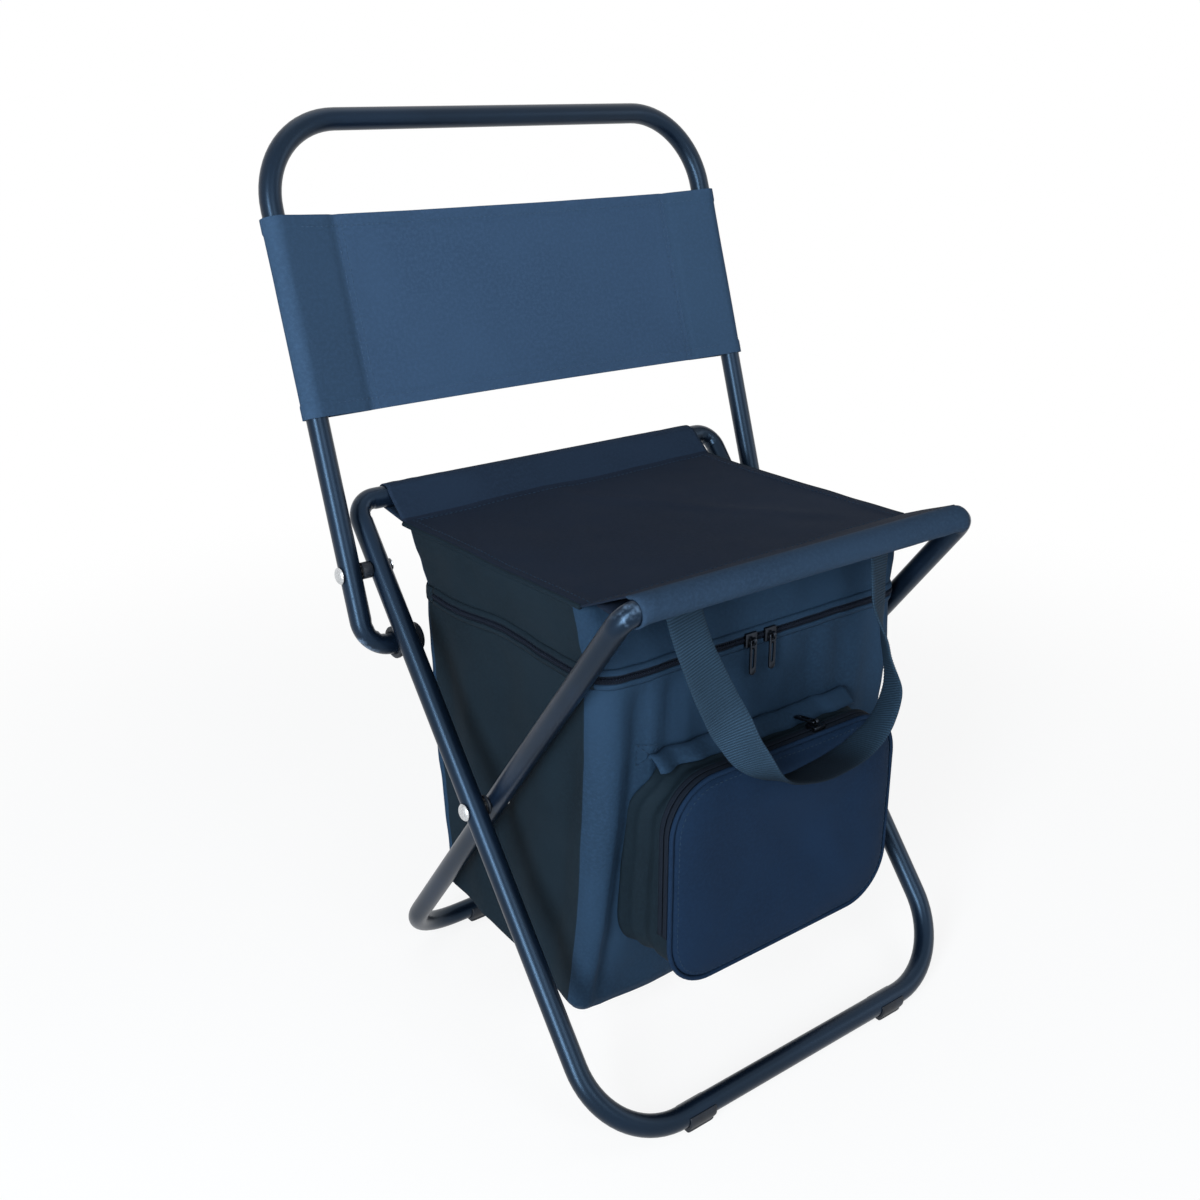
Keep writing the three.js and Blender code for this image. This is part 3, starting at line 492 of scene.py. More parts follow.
def tidy_mesh(mesh):
    work = bmesh.new()
    work.from_mesh(mesh)
    bmesh.ops.remove_doubles(work, verts=work.verts, dist=0.00001)
    bmesh.ops.recalc_face_normals(work, faces=work.faces)
    work.to_mesh(mesh)
    work.free()
    for polygon in mesh.polygons:
        polygon.use_smooth = True


def modified(made, kind, **settings):
    """The piece with one modifier applied"""
    modifier = made.modifiers.new("shape", kind)
    for key, value in settings.items():
        setattr(modifier, key, value)
    graph = bpy.context.evaluated_depsgraph_get()
    mesh = bpy.data.meshes.new_from_object(made.evaluated_get(graph))
    made.modifiers.clear()
    made.data = mesh
    return made


def thicken(made, wall, offset=0.0):
    return modified(made, "SOLIDIFY", thickness=wall * MM, offset=offset, use_even_offset=True)


def use_finish_where(made, finish, chosen):
    """A second finish on the faces whose index and face pass a test"""
    made.data.materials.append(finishes[finish])
    number = len(made.data.materials) - 1
    for index, polygon in enumerate(made.data.polygons):
        if chosen(index, polygon):
            polygon.material_index = number


# Pieces that hang under the seat; finish_folding gives each its own copy of its mesh.
squashed = []


def dress(made, node=None, body="outer_legs", folds=True):
    """Hides the part that a piece stands for, lists it with the squashed pieces when folds is set, and
    attaches it to what it rides on
    """
    if node:
        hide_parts(node)
    if folds:
        squashed.append(made)
    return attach(made, body)


def finish_folding():
    for made in squashed:
        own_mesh(made)


def stitches(name, line, finish, curved=False):
    """Short threads along a line of (point, normal), their ends sewn in. Curved ones follow the line."""
    builder = Builder()
    lengths = measured([point for point, _ in line])
    section = circle(6)
    for k in range(int(lengths[-1] / stitch_pitch)):
        i, share = stretch(lengths, k * stitch_pitch)
        start = line[i][0].lerp(line[i + 1][0], share)
        tangent = (line[i + 1][0] - line[i][0]).normalized()
        path = []
        for step, size in stitch_shape_shares:
            point = start + tangent * stitch_length * step
            normal = line[i][1]
            if curved:
                point, normal = between(line, lengths, k * stitch_pitch + stitch_length * step)
            dip = 0.15 - 0.5 * abs(2 * step - 1) ** 2
            path.append((point + normal * dip, normal, stitch_radius * size))
        if curved:
            tangent = (path[-1][0] - path[0][0]).normalized()
        builder.tube([(point, tangent, normal, size) for point, normal, size in path], section)
    return builder.make(name, finish)


def circle(sides):
    return [(math.cos(2 * math.pi * i / sides), math.sin(2 * math.pi * i / sides)) for i in range(sides)]


def blend_values(first, second, share):
    return first + (second - first) * share


def smooth(value, low, high):
    share = min(1.0, max(0.0, (value - low) / (high - low)))
    return share * share * (3 - 2 * share)


def hem_step(value, edge):
    """The step up onto a hem's folded edge"""
    return smooth(value, edge - 1, edge + 1)


def bell(value, middle, width):
    return math.exp(-(((value - middle) / width) ** 2))


def unevenness(point, scale, seed=0.0):
    """Smooth noise about zero, at a scale in millimetres"""
    return noise.noise(Vector(point) / scale + Vector((seed, seed * 1.7, -seed)))


def waves(point, layers):
    """Layers of unevenness on top of each other: (height, scale, seed)"""
    return sum(height * unevenness(point, scale, seed) for height, scale, seed in layers)


def spread(low, high, steps):
    """Even values from low to high"""
    return [blend_values(low, high, i / steps) for i in range(steps + 1)]


def circle_point(centre, radius, angle):
    return centre + Vector((math.cos(angle), math.sin(angle))) * radius


def arc_points(centre, radius, low, high, steps):
    return [circle_point(centre, radius, angle) for angle in spread(low, high, steps)]


def line_points(start, end, steps):
    return [start.lerp(end, i / steps) for i in range(steps + 1)]


def tangent_angles(centre, radius, start):
    """Where the two lines from a point touch a circle"""
    reach = start - centre
    half = math.acos(radius / reach.length)
    angle = math.atan2(reach.y, reach.x)
    return angle + half, angle - half


# Frames


class Plane:
    """A frame's own plane: across is X, along runs up its legs and out is the plane's normal."""

    def __init__(self, origin, angle):
        self.origin = origin
        self.up = Vector((0, math.cos(angle), math.sin(angle)))
        self.out = Vector((0, -math.sin(angle), math.cos(angle)))

    def at(self, across, along, out=0.0):
        return self.origin + Vector((across, 0, 0)) + self.up * along + self.out * out


outer_plane = Plane(pivot, outer_angle)
inner_plane = Plane(pivot, math.pi - inner_angle)
back_plane = Plane(back_pivot, back_angle)

rear_rail = outer_plane.at(0, outer_above)
front_rail = inner_plane.at(0, inner_above)


def bent_path(corners, bends, steps=18):
    """Straight runs joined by round bends: point, tangent, way to the bend's centre and share of the bend"""
    stations = []
    for i, corner in enumerate(corners):
        here = Vector(corner)
        into = (here - Vector(corners[i - 1])).normalized() if i > 0 else None
        away = (Vector(corners[i + 1]) - here).normalized() if i + 1 < len(corners) else None
        if into is None or away is None:
            stations.append((here, into or away, Vector((0, 0)), 0.0))
            continue
        turn = into.angle(away)
        side = (away - into * into.dot(away)).normalized()
        start = here - into * bends[i] * math.tan(turn / 2)
        for step in range(steps + 1):
            angle = turn * step / steps
            point = start + into * bends[i] * math.sin(angle) + side * bends[i] * (1 - math.cos(angle))
            tangent = into * math.cos(angle) + side * math.sin(angle)
            inward = side * math.cos(angle) - into * math.sin(angle)
            tight = 1.0 if bends[i] < hook_bend + 1 else 0.0
            stations.append((point, tangent, inward * tight, step / steps))
    return stations


tube_sides = 36


def tube_frame(name, plane, corners, bends, body, node, closed=False):
    """A bent tube, pressed in where it is crimped round a tight bend, with a painted highlight marked there
    """
    rings = []
    wear = []
    for point, tangent, inward, share in bent_path(corners, bends):
        normal = Vector((-tangent.y, tangent.x))
        bulge = math.sin(math.pi * share) if inward.length else 0.0
        crease = abs(math.sin(4 * math.pi * share)) * bulge
        ring = []
        ring_highlight = []
        for across, out in circle(tube_sides):
            inside = (normal * across).dot(inward)
            radius = tube_radius - crimp_depth * max(0.0, inside) * (bulge + 0.8 * crease)
            spot = point + normal * radius * across
            ring.append(plane.at(spot.x, spot.y, radius * out))
            # Painted highlight, strongest on the outer side of each tight bend
            ring_highlight.append(bulge * (0.35 + 0.65 * max(0.0, -inside)))
        rings.append(ring)
        wear.append(ring_highlight)
    made = solid(name, rings, "paint", closed, wear=[*wear, wear[0]] if closed else wear)
    dress(made, node, body, folds=False)


def add_frames():
    for name, plane, half, below, above, bend in (
        ("outer", outer_plane, outer_half_width, outer_below, outer_above, outer_ground_bend),
        ("inner", inner_plane, inner_half_width, inner_below, inner_above, inner_ground_bend),
    ):
        corners = [(0, above), (half, above), (half, -below), (-half, -below), (-half, above), (0, above)]
        bends = [0, seat_rail_bend, bend, bend, seat_rail_bend, 0]
        tube_frame(
            f"{name}_leg_tube", plane, corners, bends, f"{name}_legs", f"{name}_leg_frame", closed=True
        )
    left = [(-hook_end, -hook_drop), (-back_half_width, -hook_drop), (-back_half_width, back_above)]
    corners = [*left, *((-across, along) for across, along in reversed(left))]
    bends = [0, hook_bend, back_top_bend, back_top_bend, hook_bend, 0]
    tube_frame("back_tube", back_plane, corners, bends, "back", "back_frame")


# Turned pieces: radius and distance from the chair's middle plane, laid along X

turned_sides = 40
rivet_head_radius = 5.6
rivet_head_height = 2.6
rivet_tail_radius = 4.2
rivet_tail_height = 1.4
rivet_shank = 2.5
ring_hole = 2.85
ring_edge = 0.25
cap_edge = 2.6
cap_wall = 2.4
cap_length = 19
cap_lip = ((0, 2.6), (0.5, 2.2), (0.5, 0.6), (0, 0))
washer_radius = 6.4
washer_wall = 1.4
spacer_radius = 5.4
spacer_wall = 6.4


def turned(name, outline, side, centre, finish, body, node):
    rings = []
    for radius, along in outline:
        ring = [Vector((side * along, radius * y, radius * z)) for y, z in circle(turned_sides)]
        rings.append([centre + spot for spot in ring])
    made = skin(name, rings, finish, around=True)
    dress(made, node, body, folds=False)


def quarter_turn(steps):
    return [(math.cos(angle), math.sin(angle)) for angle in spread(0, math.pi / 2, steps)]


def rivet_outline(tail_top, head_base):
    dome = [(rivet_head_radius * c, head_base + rivet_head_height * s) for c, s in quarter_turn(10)]
    tail = [(rivet_tail_radius * s, tail_top - rivet_tail_height * c) for c, s in quarter_turn(10)]
    return [*tail, (rivet_shank, tail_top), (rivet_shank, head_base), *dome]


def ring_outline(radius, low, high):
    inner = radius - ring_edge
    outer = [(inner, low), (radius, low + ring_edge), (radius, high - ring_edge), (inner, high)]
    return [(ring_hole, low), *outer, (ring_hole, high), (ring_hole, low)]


def cap_outline():
    radius = hook_cap_radius
    floor = hook_end - fit_gap
    face = floor - cap_wall
    mouth = face + cap_length
    bore = tube_radius + fit_gap
    rounded = [(radius - cap_edge * (1 - s), face + cap_edge * (1 - c)) for c, s in quarter_turn(8)]
    lip = [(radius + out, mouth - back) for out, back in cap_lip]
    return [(0, face), *rounded, *lip, (bore, mouth), (bore, floor), (0, floor)]


def add_fasteners():
    scissor = outer_plane.at(0, 0)
    hook = back_plane.at(0, -hook_drop)
    reach = tube_radius + fit_gap
    washer_low = inner_half_width + reach
    spacer_low = outer_half_width + reach
    washer = ring_outline(washer_radius, washer_low, washer_low + washer_wall)
    spacer = ring_outline(spacer_radius, spacer_low, spacer_low + spacer_wall)
    scissor_rivet = rivet_outline(inner_half_width - reach, spacer_low)
    back_rivet = rivet_outline(outer_half_width - reach, back_half_width + reach)
    pieces = (
        ("scissor_rivet", "head", scissor_rivet, scissor, "rivet"),
        ("back_rivet", "head", back_rivet, back_pivot, "rivet"),
        ("scissor_washer", "disc", washer, scissor, "plastic"),
        ("back_spacer", "ring", spacer, back_pivot, "plastic"),
    )
    for end, side in both_sides:
        for node, kind, outline, centre, finish in pieces:
            turned(f"{node}_{kind}_{end}", outline, side, centre, finish, "outer_legs", f"{node}_{end}")
        turned(f"hook_end_cap_{end}", cap_outline(), side, hook, "plastic", "back", f"hook_cap_{end}")


# Foot clips

foot_sole_depth = 9.6
foot_sole_half = 5
foot_length = 21
foot_lip = 0.5
foot_gap = 0.12
foot_wrap_degrees = 112
foot_size_shares = ((0, 0.86), (0.06, 0.97), (0.15, 1), (0.85, 1), (0.94, 0.97), (1, 0.86))


def foot_outline(bore):
    """A flat sole under the rail, with thin lips that hug it"""
    wrap = math.radians(foot_wrap_degrees)
    sole = math.asin(foot_sole_half / foot_sole_depth)
    down = -math.pi / 2
    steps = 14
    lip = []
    for i in range(steps + 1):
        angle = blend_values(down + sole, down + wrap, i / steps)
        radius = blend_values(foot_sole_depth, bore + foot_lip, (i / steps) ** 0.6)
        lip.append((radius * math.cos(angle), radius * math.sin(angle)))
    corner = (foot_sole_half, -foot_sole_depth)
    half = [corner, *lip]
    mirrored = [(-y, z) for y, z in reversed(half)]
    inside = arc_points(Vector((0, 0)), bore, down + wrap, down - wrap, 2 * steps)
    return [*mirrored, *half, *inside]


def add_feet():
    bore = tube_radius + foot_gap
    outline = foot_outline(bore)
    for end, body in (("front", "outer_legs"), ("rear", "inner_legs")):
        for side in ("left", "right"):
            low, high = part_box(f"foot_{end}_{side}")
            middle = (low + high) / 2 / MM
            rings = []
            for share, size in foot_size_shares:
                ring = []
                for y, z in outline:
                    reach = math.hypot(y, z)
                    shrunk = (bore + (reach - bore) * size) / reach
                    x = middle.x + (share - 0.5) * foot_length
                    ring.append(Vector((x, middle.y + y * shrunk, rail_height + z * shrunk)))
                rings.append(ring)
            made = solid(f"foot_clip_{end}_{side}", rings, "plastic")
            dress(made, f"foot_{end}_{side}", body, folds=False)


# Back panel

panel_low = 98.5
panel_high = 222
panel_seam = 135
panel_face = 0.5
panel_rear = -0.9
panel_slope = 0.2
panel_pull = 0.7
panel_hollow = 1.2
hem_rise = 0.55
seam_dent = 0.9
seam_dent_width = 2.2
panel_waves = ((0.55, 46, 3), (0.25, 17, 5))
sleeve_waves = ((0.2, 30, 9),)
hem_stitch_inset = 1.6
panel_width_share = 0.98
stitch_lift = 0.62
seam_stitch_inset = 1.2
seam_stitch_gap = 3.4
hem_stitch_reach = 26


def panel_section():
    """Across the chair and out of the back's plane: from one rear seam round both tubes to the other"""
    tube = Vector((-back_half_width, 0))
    seam = Vector((-panel_seam, 0))
    first, last = tangent_angles(tube, sleeve_radius, seam)
    points = line_points(seam + Vector((0, panel_rear)), circle_point(tube, sleeve_radius, last), 8)
    points += arc_points(tube, sleeve_radius, last, first - 2 * math.pi, 22)[1:]
    points += line_points(points[-1], seam + Vector((0, panel_face)), 10)[1:]
    mirrored = [Vector((-point.x, point.y)) for point in reversed(points)]
    return points + line_points(points[-1], mirrored[0], 60)[1:] + mirrored[1:]


def panel_point(flat, along):
    """A point of the back panel with its hems, a slight hollow and the pull of the seams"""
    row_share = (along - panel_low) / (panel_high - panel_low)
    inside = 1 - smooth(abs(flat.x), panel_seam - 14, panel_seam + 6)
    pull = panel_pull * inside * (1 - (flat.x / panel_seam) ** 2)
    height = along - pull * (2 * row_share - 1) * abs(2 * row_share - 1)
    hem = hem_rise * hem_step(along, panel_high - hem_width)
    hem += hem_rise * (1 - hem_step(along, panel_low + hem_width))
    facing = 1 if flat.y > 0.2 else -1
    near_tube = smooth(abs(flat.x), panel_seam + 10, panel_seam + 30)
    if near_tube > 0:
        way = (flat - Vector((math.copysign(back_half_width, flat.x), 0))).normalized()
        swell = hem + waves((flat.x, along, flat.y), sleeve_waves)
        grown = flat + way * swell * near_tube
        return back_plane.at(grown.x, height, grown.y + (1 - near_tube) * facing * hem)
    hollow = -panel_hollow * inside * math.cos(math.pi * (row_share - 0.5))
    ripple = waves((flat.x, along, 0), panel_waves)
    seam_dip = -seam_dent * bell(abs(flat.x), panel_seam, seam_dent_width) if flat.y > 0.2 else 0
    return back_plane.at(flat.x, height, flat.y + hollow + ripple * inside + seam_dip + facing * hem)


def panel_stitches(name, places):
    """Threads on the panel's face, through places across and along it"""
    out = back_plane.out
    line = []
    for x, along in places:
        y = panel_face + max(0.0, abs(x) - panel_seam) * panel_slope
        line.append((panel_point(Vector((x, y)), along) + out * stitch_lift, out))
    dress(stitches(name, line, "pale_thread", curved=True), body="back", folds=False)


def add_back_panel():
    section = panel_section()
    breaks = [0, 0.5, 3, *(hem_width + step for step in (-1.6, -0.6, 0, 0.8, 2))]
    span = panel_high - panel_low
    middle = spread(hem_width + 2, span - hem_width - 2, 30)[1:-1]
    heights = [*breaks, *middle, *(span - value for value in reversed(breaks))]
    rows = [[panel_point(flat, panel_low + height) for flat in section] for height in heights]
    made = skin("back_cloth_panel", rows, "back")
    # Painted shade on the strips beyond the seams, round the tubes
    use_finish_where(made, "shaded_back_sleeve", lambda index, face: abs(face.center.x) / MM > panel_seam)
    made = dress(thicken(made, cloth_wall), "back_panel", "back", folds=False)
    width = 2 * (2 * back_half_width - panel_seam) + 2 * math.pi * sleeve_radius
    width *= panel_width_share
    hem_inset = hem_width - hem_stitch_inset
    across = spread(-panel_seam - hem_stitch_reach, panel_seam + hem_stitch_reach, 120)
    for number, along in enumerate((panel_low + hem_inset, panel_high - hem_inset)):
        panel_stitches(f"back_hem_stitches_{number}", [(x, along) for x in across])
    for name, side in both_sides:
        for shift in (0, seam_stitch_gap):
            x = side * (panel_seam - seam_stitch_inset - shift)
            places = [(x, along) for along in spread(panel_low + 2, panel_high - 2, 60)]
            panel_stitches(f"back_seam_stitches_{name}_{int(shift)}", places)


# Seat

mouth_front = -81
mouth_rear = 108
mouth_half = 131.5
seat_level = 335.5
seat_dip = 2.2
seat_lean = 1.5
seat_waist = 1.6
side_hem_rise = 0.5
sleeve_half = 131
seam_behind = 16
seam_above = 6.2
binding_radius = 1.5
binding_drop = 0.3
rear_seam_rise = 0.6
rear_seam_wall = 1.6
front_sleeve_reach = 5.5
rear_sleeve_gap = 1
row_inset = 4
side_stitch_inset = 7
side_stitch_lift = 1.0
seat_stitch_rows = (("front", mouth_front - 1.5, 1.4), ("rear", mouth_rear - 2, 0.7))
seat_waves = ((1.1, 60, 1), (0.5, 24, 2))
flap_waves = ((0.7, 26, 6),)
sleeve_puckers = ((0.45, 12, 8),)
# Ridges from the front corners, where the seams pull: height, slope, shift, width and reach
seat_pulls = ((0.9, -0.6, 118, 9, 30), (0.8, 0.7, -112, 10, 40))
up = Vector((0, 0, 1))


def bag_point(x, y, z):
    return Vector((x, pivot.y + y, z))


def seat_height(x, y):
    """Height of the seat cloth's upper side between the bag's mouth edges"""
    share = (y - mouth_front) / (mouth_rear - mouth_front)
    across = 1 - (x / mouth_half) ** 2
    dip = -seat_dip * math.sin(math.pi * min(1, max(0, share))) * (0.3 + 0.7 * across)
    from_front = y - mouth_front
    tension = 0.0
    for height, slope, shift, width, reach in seat_pulls:
        tension += height * bell(x + slope * from_front + shift, 0, width) * smooth(from_front, 0, reach)
    lean = seat_lean * (x / mouth_half)
    return seat_level + dip + waves((x, y, 0), seat_waves) + tension + lean


def seat_section():
    """The cloth's path from the front seam's underside round both rails: (y, z) and the kind of its run"""
    front = Vector((front_rail.y - pivot.y, front_rail.z))
    rear = Vector((rear_rail.y - pivot.y, rear_rail.z))
    front_low = Vector((mouth_front - seam_behind, seat_level + seam_above))
    front_edge = Vector((mouth_front, seat_level))
    rear_edge = Vector((mouth_rear, seat_level + rear_seam_rise))
    rear_low = rear_edge - Vector((0, rear_seam_wall))
    bottom = tangent_angles(front, sleeve_radius, front_low)[1] + 2 * math.pi
    top = tangent_angles(front, sleeve_radius, front_edge)[0]
    front_arc = arc_points(front, sleeve_radius, bottom, top, 26)
    top = tangent_angles(rear, sleeve_radius, rear_edge)[1]
    bottom = tangent_angles(rear, sleeve_radius, rear_low)[0] - 2 * math.pi
    rear_arc = arc_points(rear, sleeve_radius, top, bottom, 26)
    points = [(front_low, "front")]
    for kind, run in (
        ("front", line_points(front_low, front_arc[0], 5)),
        ("front", front_arc),
        ("flap", line_points(front_arc[-1], front_edge, 12)),
        ("flat", line_points(front_edge, rear_edge, 60)),
        ("rear_flap", line_points(rear_edge, rear_arc[0], 10)),
        ("rear", rear_arc),
        ("rear", line_points(rear_arc[-1], rear_low, 6)),
    ):
        points += [(point, kind) for point in run[1:]]
    return points


def seat_point(flat, kind, x):
    y, z = flat
    if kind == "flat":
        z = seat_height(x, y) + side_hem_rise * hem_step(abs(x), mouth_half - hem_width)
    elif kind in ("flap", "rear_flap"):
        edge = mouth_front if kind == "flap" else mouth_rear
        share = min(1, abs(y - edge) / 40)
        z += (seat_height(x, edge) - seat_level) * (1 - share)
        z += waves((x, y, z), flap_waves) * math.sin(math.pi * share)
    else:
        centre = front_rail if kind == "front" else rear_rail
        way = Vector((0, y - (centre.y - pivot.y), z - centre.z)).normalized()
        puckers = waves((x * 1.6, y, z), sleeve_puckers) * smooth(abs(x), 60, sleeve_half)
        y += way.y * puckers
        z += way.z * puckers
        if kind == "front":
            past = max(0.0, abs(x) - (inner_half_width - seat_rail_bend))
            slide = seat_rail_bend - math.sqrt(max(0.0, seat_rail_bend**2 - past**2))
            y -= inner_plane.up.y * slide
            z -= inner_plane.up.z * slide
    return bag_point(x, y, z)


def seat_half(flat, kind):
    if kind == "flat":
        share = (flat.x - mouth_front) / (mouth_rear - mouth_front)
        return mouth_half - seat_waist * math.sin(math.pi * share)
    if kind in ("flap", "rear_flap"):
        return mouth_half
    return sleeve_half


def cross_legs(made):
    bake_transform(made)


def add_seat():
    section = seat_section()
    columns = 84
    shares = [math.copysign(abs(s) ** 0.85, s) for s in (2 * i / columns - 1 for i in range(columns + 1))]
    rows = []
    for flat, kind in section:
        rows.append([seat_point(flat, kind, share * seat_half(flat, kind)) for share in shares])
    made = skin("seat_cloth_panel", rows, "seat")
    front_edge = front_rail.y + front_sleeve_reach
    rear_edge = pivot.y + mouth_rear + rear_sleeve_gap
    # Painted light and shade: paler front sleeve and darker rear sleeve copies of the seat cloth
    use_finish_where(made, "lit_front_sleeve", lambda index, face: face.center.y / MM < front_edge)
    use_finish_where(made, "shaded_rear_sleeve", lambda index, face: face.center.y / MM > rear_edge)
    made = thicken(made, cloth_wall)
    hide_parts("seat_panel")
    cross_legs(made)
    length = measured([flat for flat, kind in section])[-1]
    add_seat_trim()


def seat_edge_binding(side):
    """A rounded edge along one side of the seat cloth: (point, tangent, normal, size)"""
    line = []
    for y in spread(mouth_rear, mouth_front, 80):
        x = side * seat_half(Vector((y, 0)), "flat")
        line.append(bag_point(x, y, seat_height(x, y) - binding_drop))
    path = []
    for i, point in enumerate(line):
        tangent = (line[min(len(line) - 1, i + 1)] - line[max(0, i - 1)]).normalized()
        normal = (up - tangent * up.dot(tangent)).normalized()
        path.append((point, tangent, normal, binding_radius))
    return path


def add_seat_trim():
    for name, side in both_sides:
        builder = Builder()
        builder.tube(seat_edge_binding(side), circle(10))
        # The binding uses the darker side copy of the bag cloth, painted shade
        binding = builder.make(f"seat_edge_binding_{name}", "side")
        cross_legs(binding)
        line = []
        for y in spread(mouth_rear, mouth_front, 80):
            x = side * (seat_half(Vector((y, 0)), "flat") - side_stitch_inset)
            line.append((bag_point(x, y, seat_height(x, y) + side_stitch_lift), up))
        cross_legs(stitches(f"seat_edge_stitches_{name}", line, "thread"))
    for name, y, lift in seat_stitch_rows:
        line = []
        for x in spread(-mouth_half + row_inset, mouth_half - row_inset, 120):
            line.append((bag_point(x, y, seat_height(x, max(mouth_front, y)) + lift), up))
        cross_legs(stitches(f"seat_{name}_stitches", line, "thread"))


# Bag

zip_height = 289.035
zip_half = 5.3
floor_height = 44
rear_rise = 20
floor_front = -60
floor_rear = 92
zip_front = -90
zip_rear = 101
bag_half = 124
floor_tuck = 4
bag_corner = 17
rear_corner = 9
side_swell = 1.2
side_hollow = 2.4
rear_belly = 2.0
front_swell = 3.0
floor_corner = 11
floor_right_corner = 9
floor_edge_shares = (0.0, 0.006, 0.014, 0.026)
floor_sag_depth = 5.5
floor_sag_reach = 60
lining_inset = 2.4
lining_wall = 3.6
lid_wall = 3.4
lid_inset = 6
band_inset = 0.6
band_wall = 2.6
band_belly = 0.64
band_side_swell = 1.0
band_waves = ((1.6, 30, 21), (0.9, 11, 22))
zip_overlap = 0.4
band_side_lip = 0.2
band_front_lip = 0.5
band_under_seat = 0.9
board_inset = 10
board_rise_shares = (0.03, 0.032, 0.042, 0.044)
rise_shares = (0.0, 0.04, 0.3, 0.6, 1.0)
lean_shares = (0.0, 0.0, 0.42, 0.78, 1.0)
inset_values = (7.0, 0.0, 0.0, 0.0, 0.0)


def table_value(shares, values, share):
    for i in range(len(shares) - 1):
        if share <= shares[i + 1]:
            local = (share - shares[i]) / (shares[i + 1] - shares[i])
            return blend_values(values[i], values[i + 1], local)
    return values[-1]


def rounded_ring(left, right, front, rear, corner, sides=(34, 34), steps=12, far=None, near_right=None):
    """Points and outward normals of a rectangle with round corners, anticlockwise from above, in X and Y"""
    far = corner if far is None else far
    near_right = corner if near_right is None else near_right
    corners = [
        (Vector((right - far, rear - far)), far),
        (Vector((left + far, rear - far)), far),
        (Vector((left + corner, front + corner)), corner),
        (Vector((right - near_right, front + near_right)), near_right),
    ]
    points = []
    for i, (centre, radius) in enumerate(corners):
        for step in range(steps + 1):
            normal = circle_point(Vector((0, 0)), 1, (i + step / steps) * math.pi / 2)
            points.append((centre + normal * radius, normal))
        next_centre, next_radius = corners[(i + 1) % 4]
        start = centre + normal * radius
        end = next_centre + normal * next_radius
        points += [(start.lerp(end, step / sides[i % 2]), normal) for step in range(1, sides[i % 2])]
    return points


# Soft folds on the bag's walls: place on the wall at the top and the bottom, heights, width and depth.
# Front folds are placed by X and side folds by Y.
front_folds = [
    (-110, -113, 50, 290, 8, 1.6),
    (-93, -102, 60, 290, 5, -4.6),
    (-82, -88, 130, 288, 5, 2.4),
    (-70, -74, 170, 288, 5, -1.8),
    (-56, -58, 232, 290, 7, 2.0),
    (-28, -22, 230, 288, 8, -2.0),
    (-10, -6, 230, 288, 6, 1.2),
    (20, 16, 232, 288, 6, 1.6),
    (40, 48, 234, 288, 5, -2.2),
    (56, 58, 232, 288, 5, 1.8),
    (72, 76, 232, 288, 5, -2.0),
    (88, 92, 120, 288, 5, 1.8),
    (104, 108, 60, 284, 8, -1.6),
]
side_folds = [
    (-62, -30, 60, 250, 9, -2.6),
    (-40, -8, 70, 270, 12, 2.0),
    (6, 26, 90, 284, 14, -2.4),
    (52, 46, 60, 270, 12, 1.8),
    (80, 72, 80, 284, 9, -1.8),
]


def fold_depth(folds, place, height):
    depth = 0.0
    for top, bottom, low, high, width, size in folds:
        share = (height - low) / (high - low)
        if share <= -0.2 or share >= 1.2:
            continue
        centre = blend_values(bottom, top, share)
        fade = smooth(share, -0.2, 0.15) * (1 - smooth(share, 0.8, 1.1))
        depth += size * bell(place, centre, width) * fade
    return depth


def bag_bulge(x, y, z, normal):
    """How far the bag's cloth stands out of its plain form"""
    share = (z - floor_height) / (zip_height - floor_height)
    belly = math.sin(math.pi * min(1, max(0, share)))
    depth = 1.3 * unevenness((x, y, z * 0.6), 34, 11) + 0.6 * unevenness((x, y, z * 0.8), 13, 12)
    if normal.y < -0.3:
        depth += fold_depth(front_folds, x, z) * min(1, -normal.y * 1.4)
    if abs(normal.x) > 0.3:
        depth += fold_depth(side_folds, y, z) * min(1, abs(normal.x) * 1.4)
        depth -= side_hollow * belly * math.cos((y - 10) / 100 * math.pi / 2) * abs(normal.x)
    if normal.y > 0.3:
        depth += rear_belly * belly + fold_depth(front_folds, -x, z) * 0.7
    return depth * (1 - smooth(share, 0.93, 1.0))


def floor_sag(x, from_front):
    """How far the laden floor hangs below its corners"""
    across = 1 - (x / bag_half) ** 2
    near_front = 0.35 + 0.65 * bell(from_front, 0, floor_sag_reach)
    return floor_sag_depth * max(0.0, across) ** 0.6 * near_front


def drift(x, y, z):
    """Rise of the cloth near the zip, where the side walls pull it out of level"""
    near = bell(z, zip_height, 34)
    side = smooth(abs(x), 96, 118)
    rise = 3.4 * bell(y, 2, 30) - 1.6 * bell(y, 62, 22) + 0.8 * unevenness((x, y, 0), 18, 61)
    front = 0.9 * unevenness((x, y, 0), 26, 62) * smooth(abs(x), 30, 60)
    return near * (rise * side + front * (1 - side))


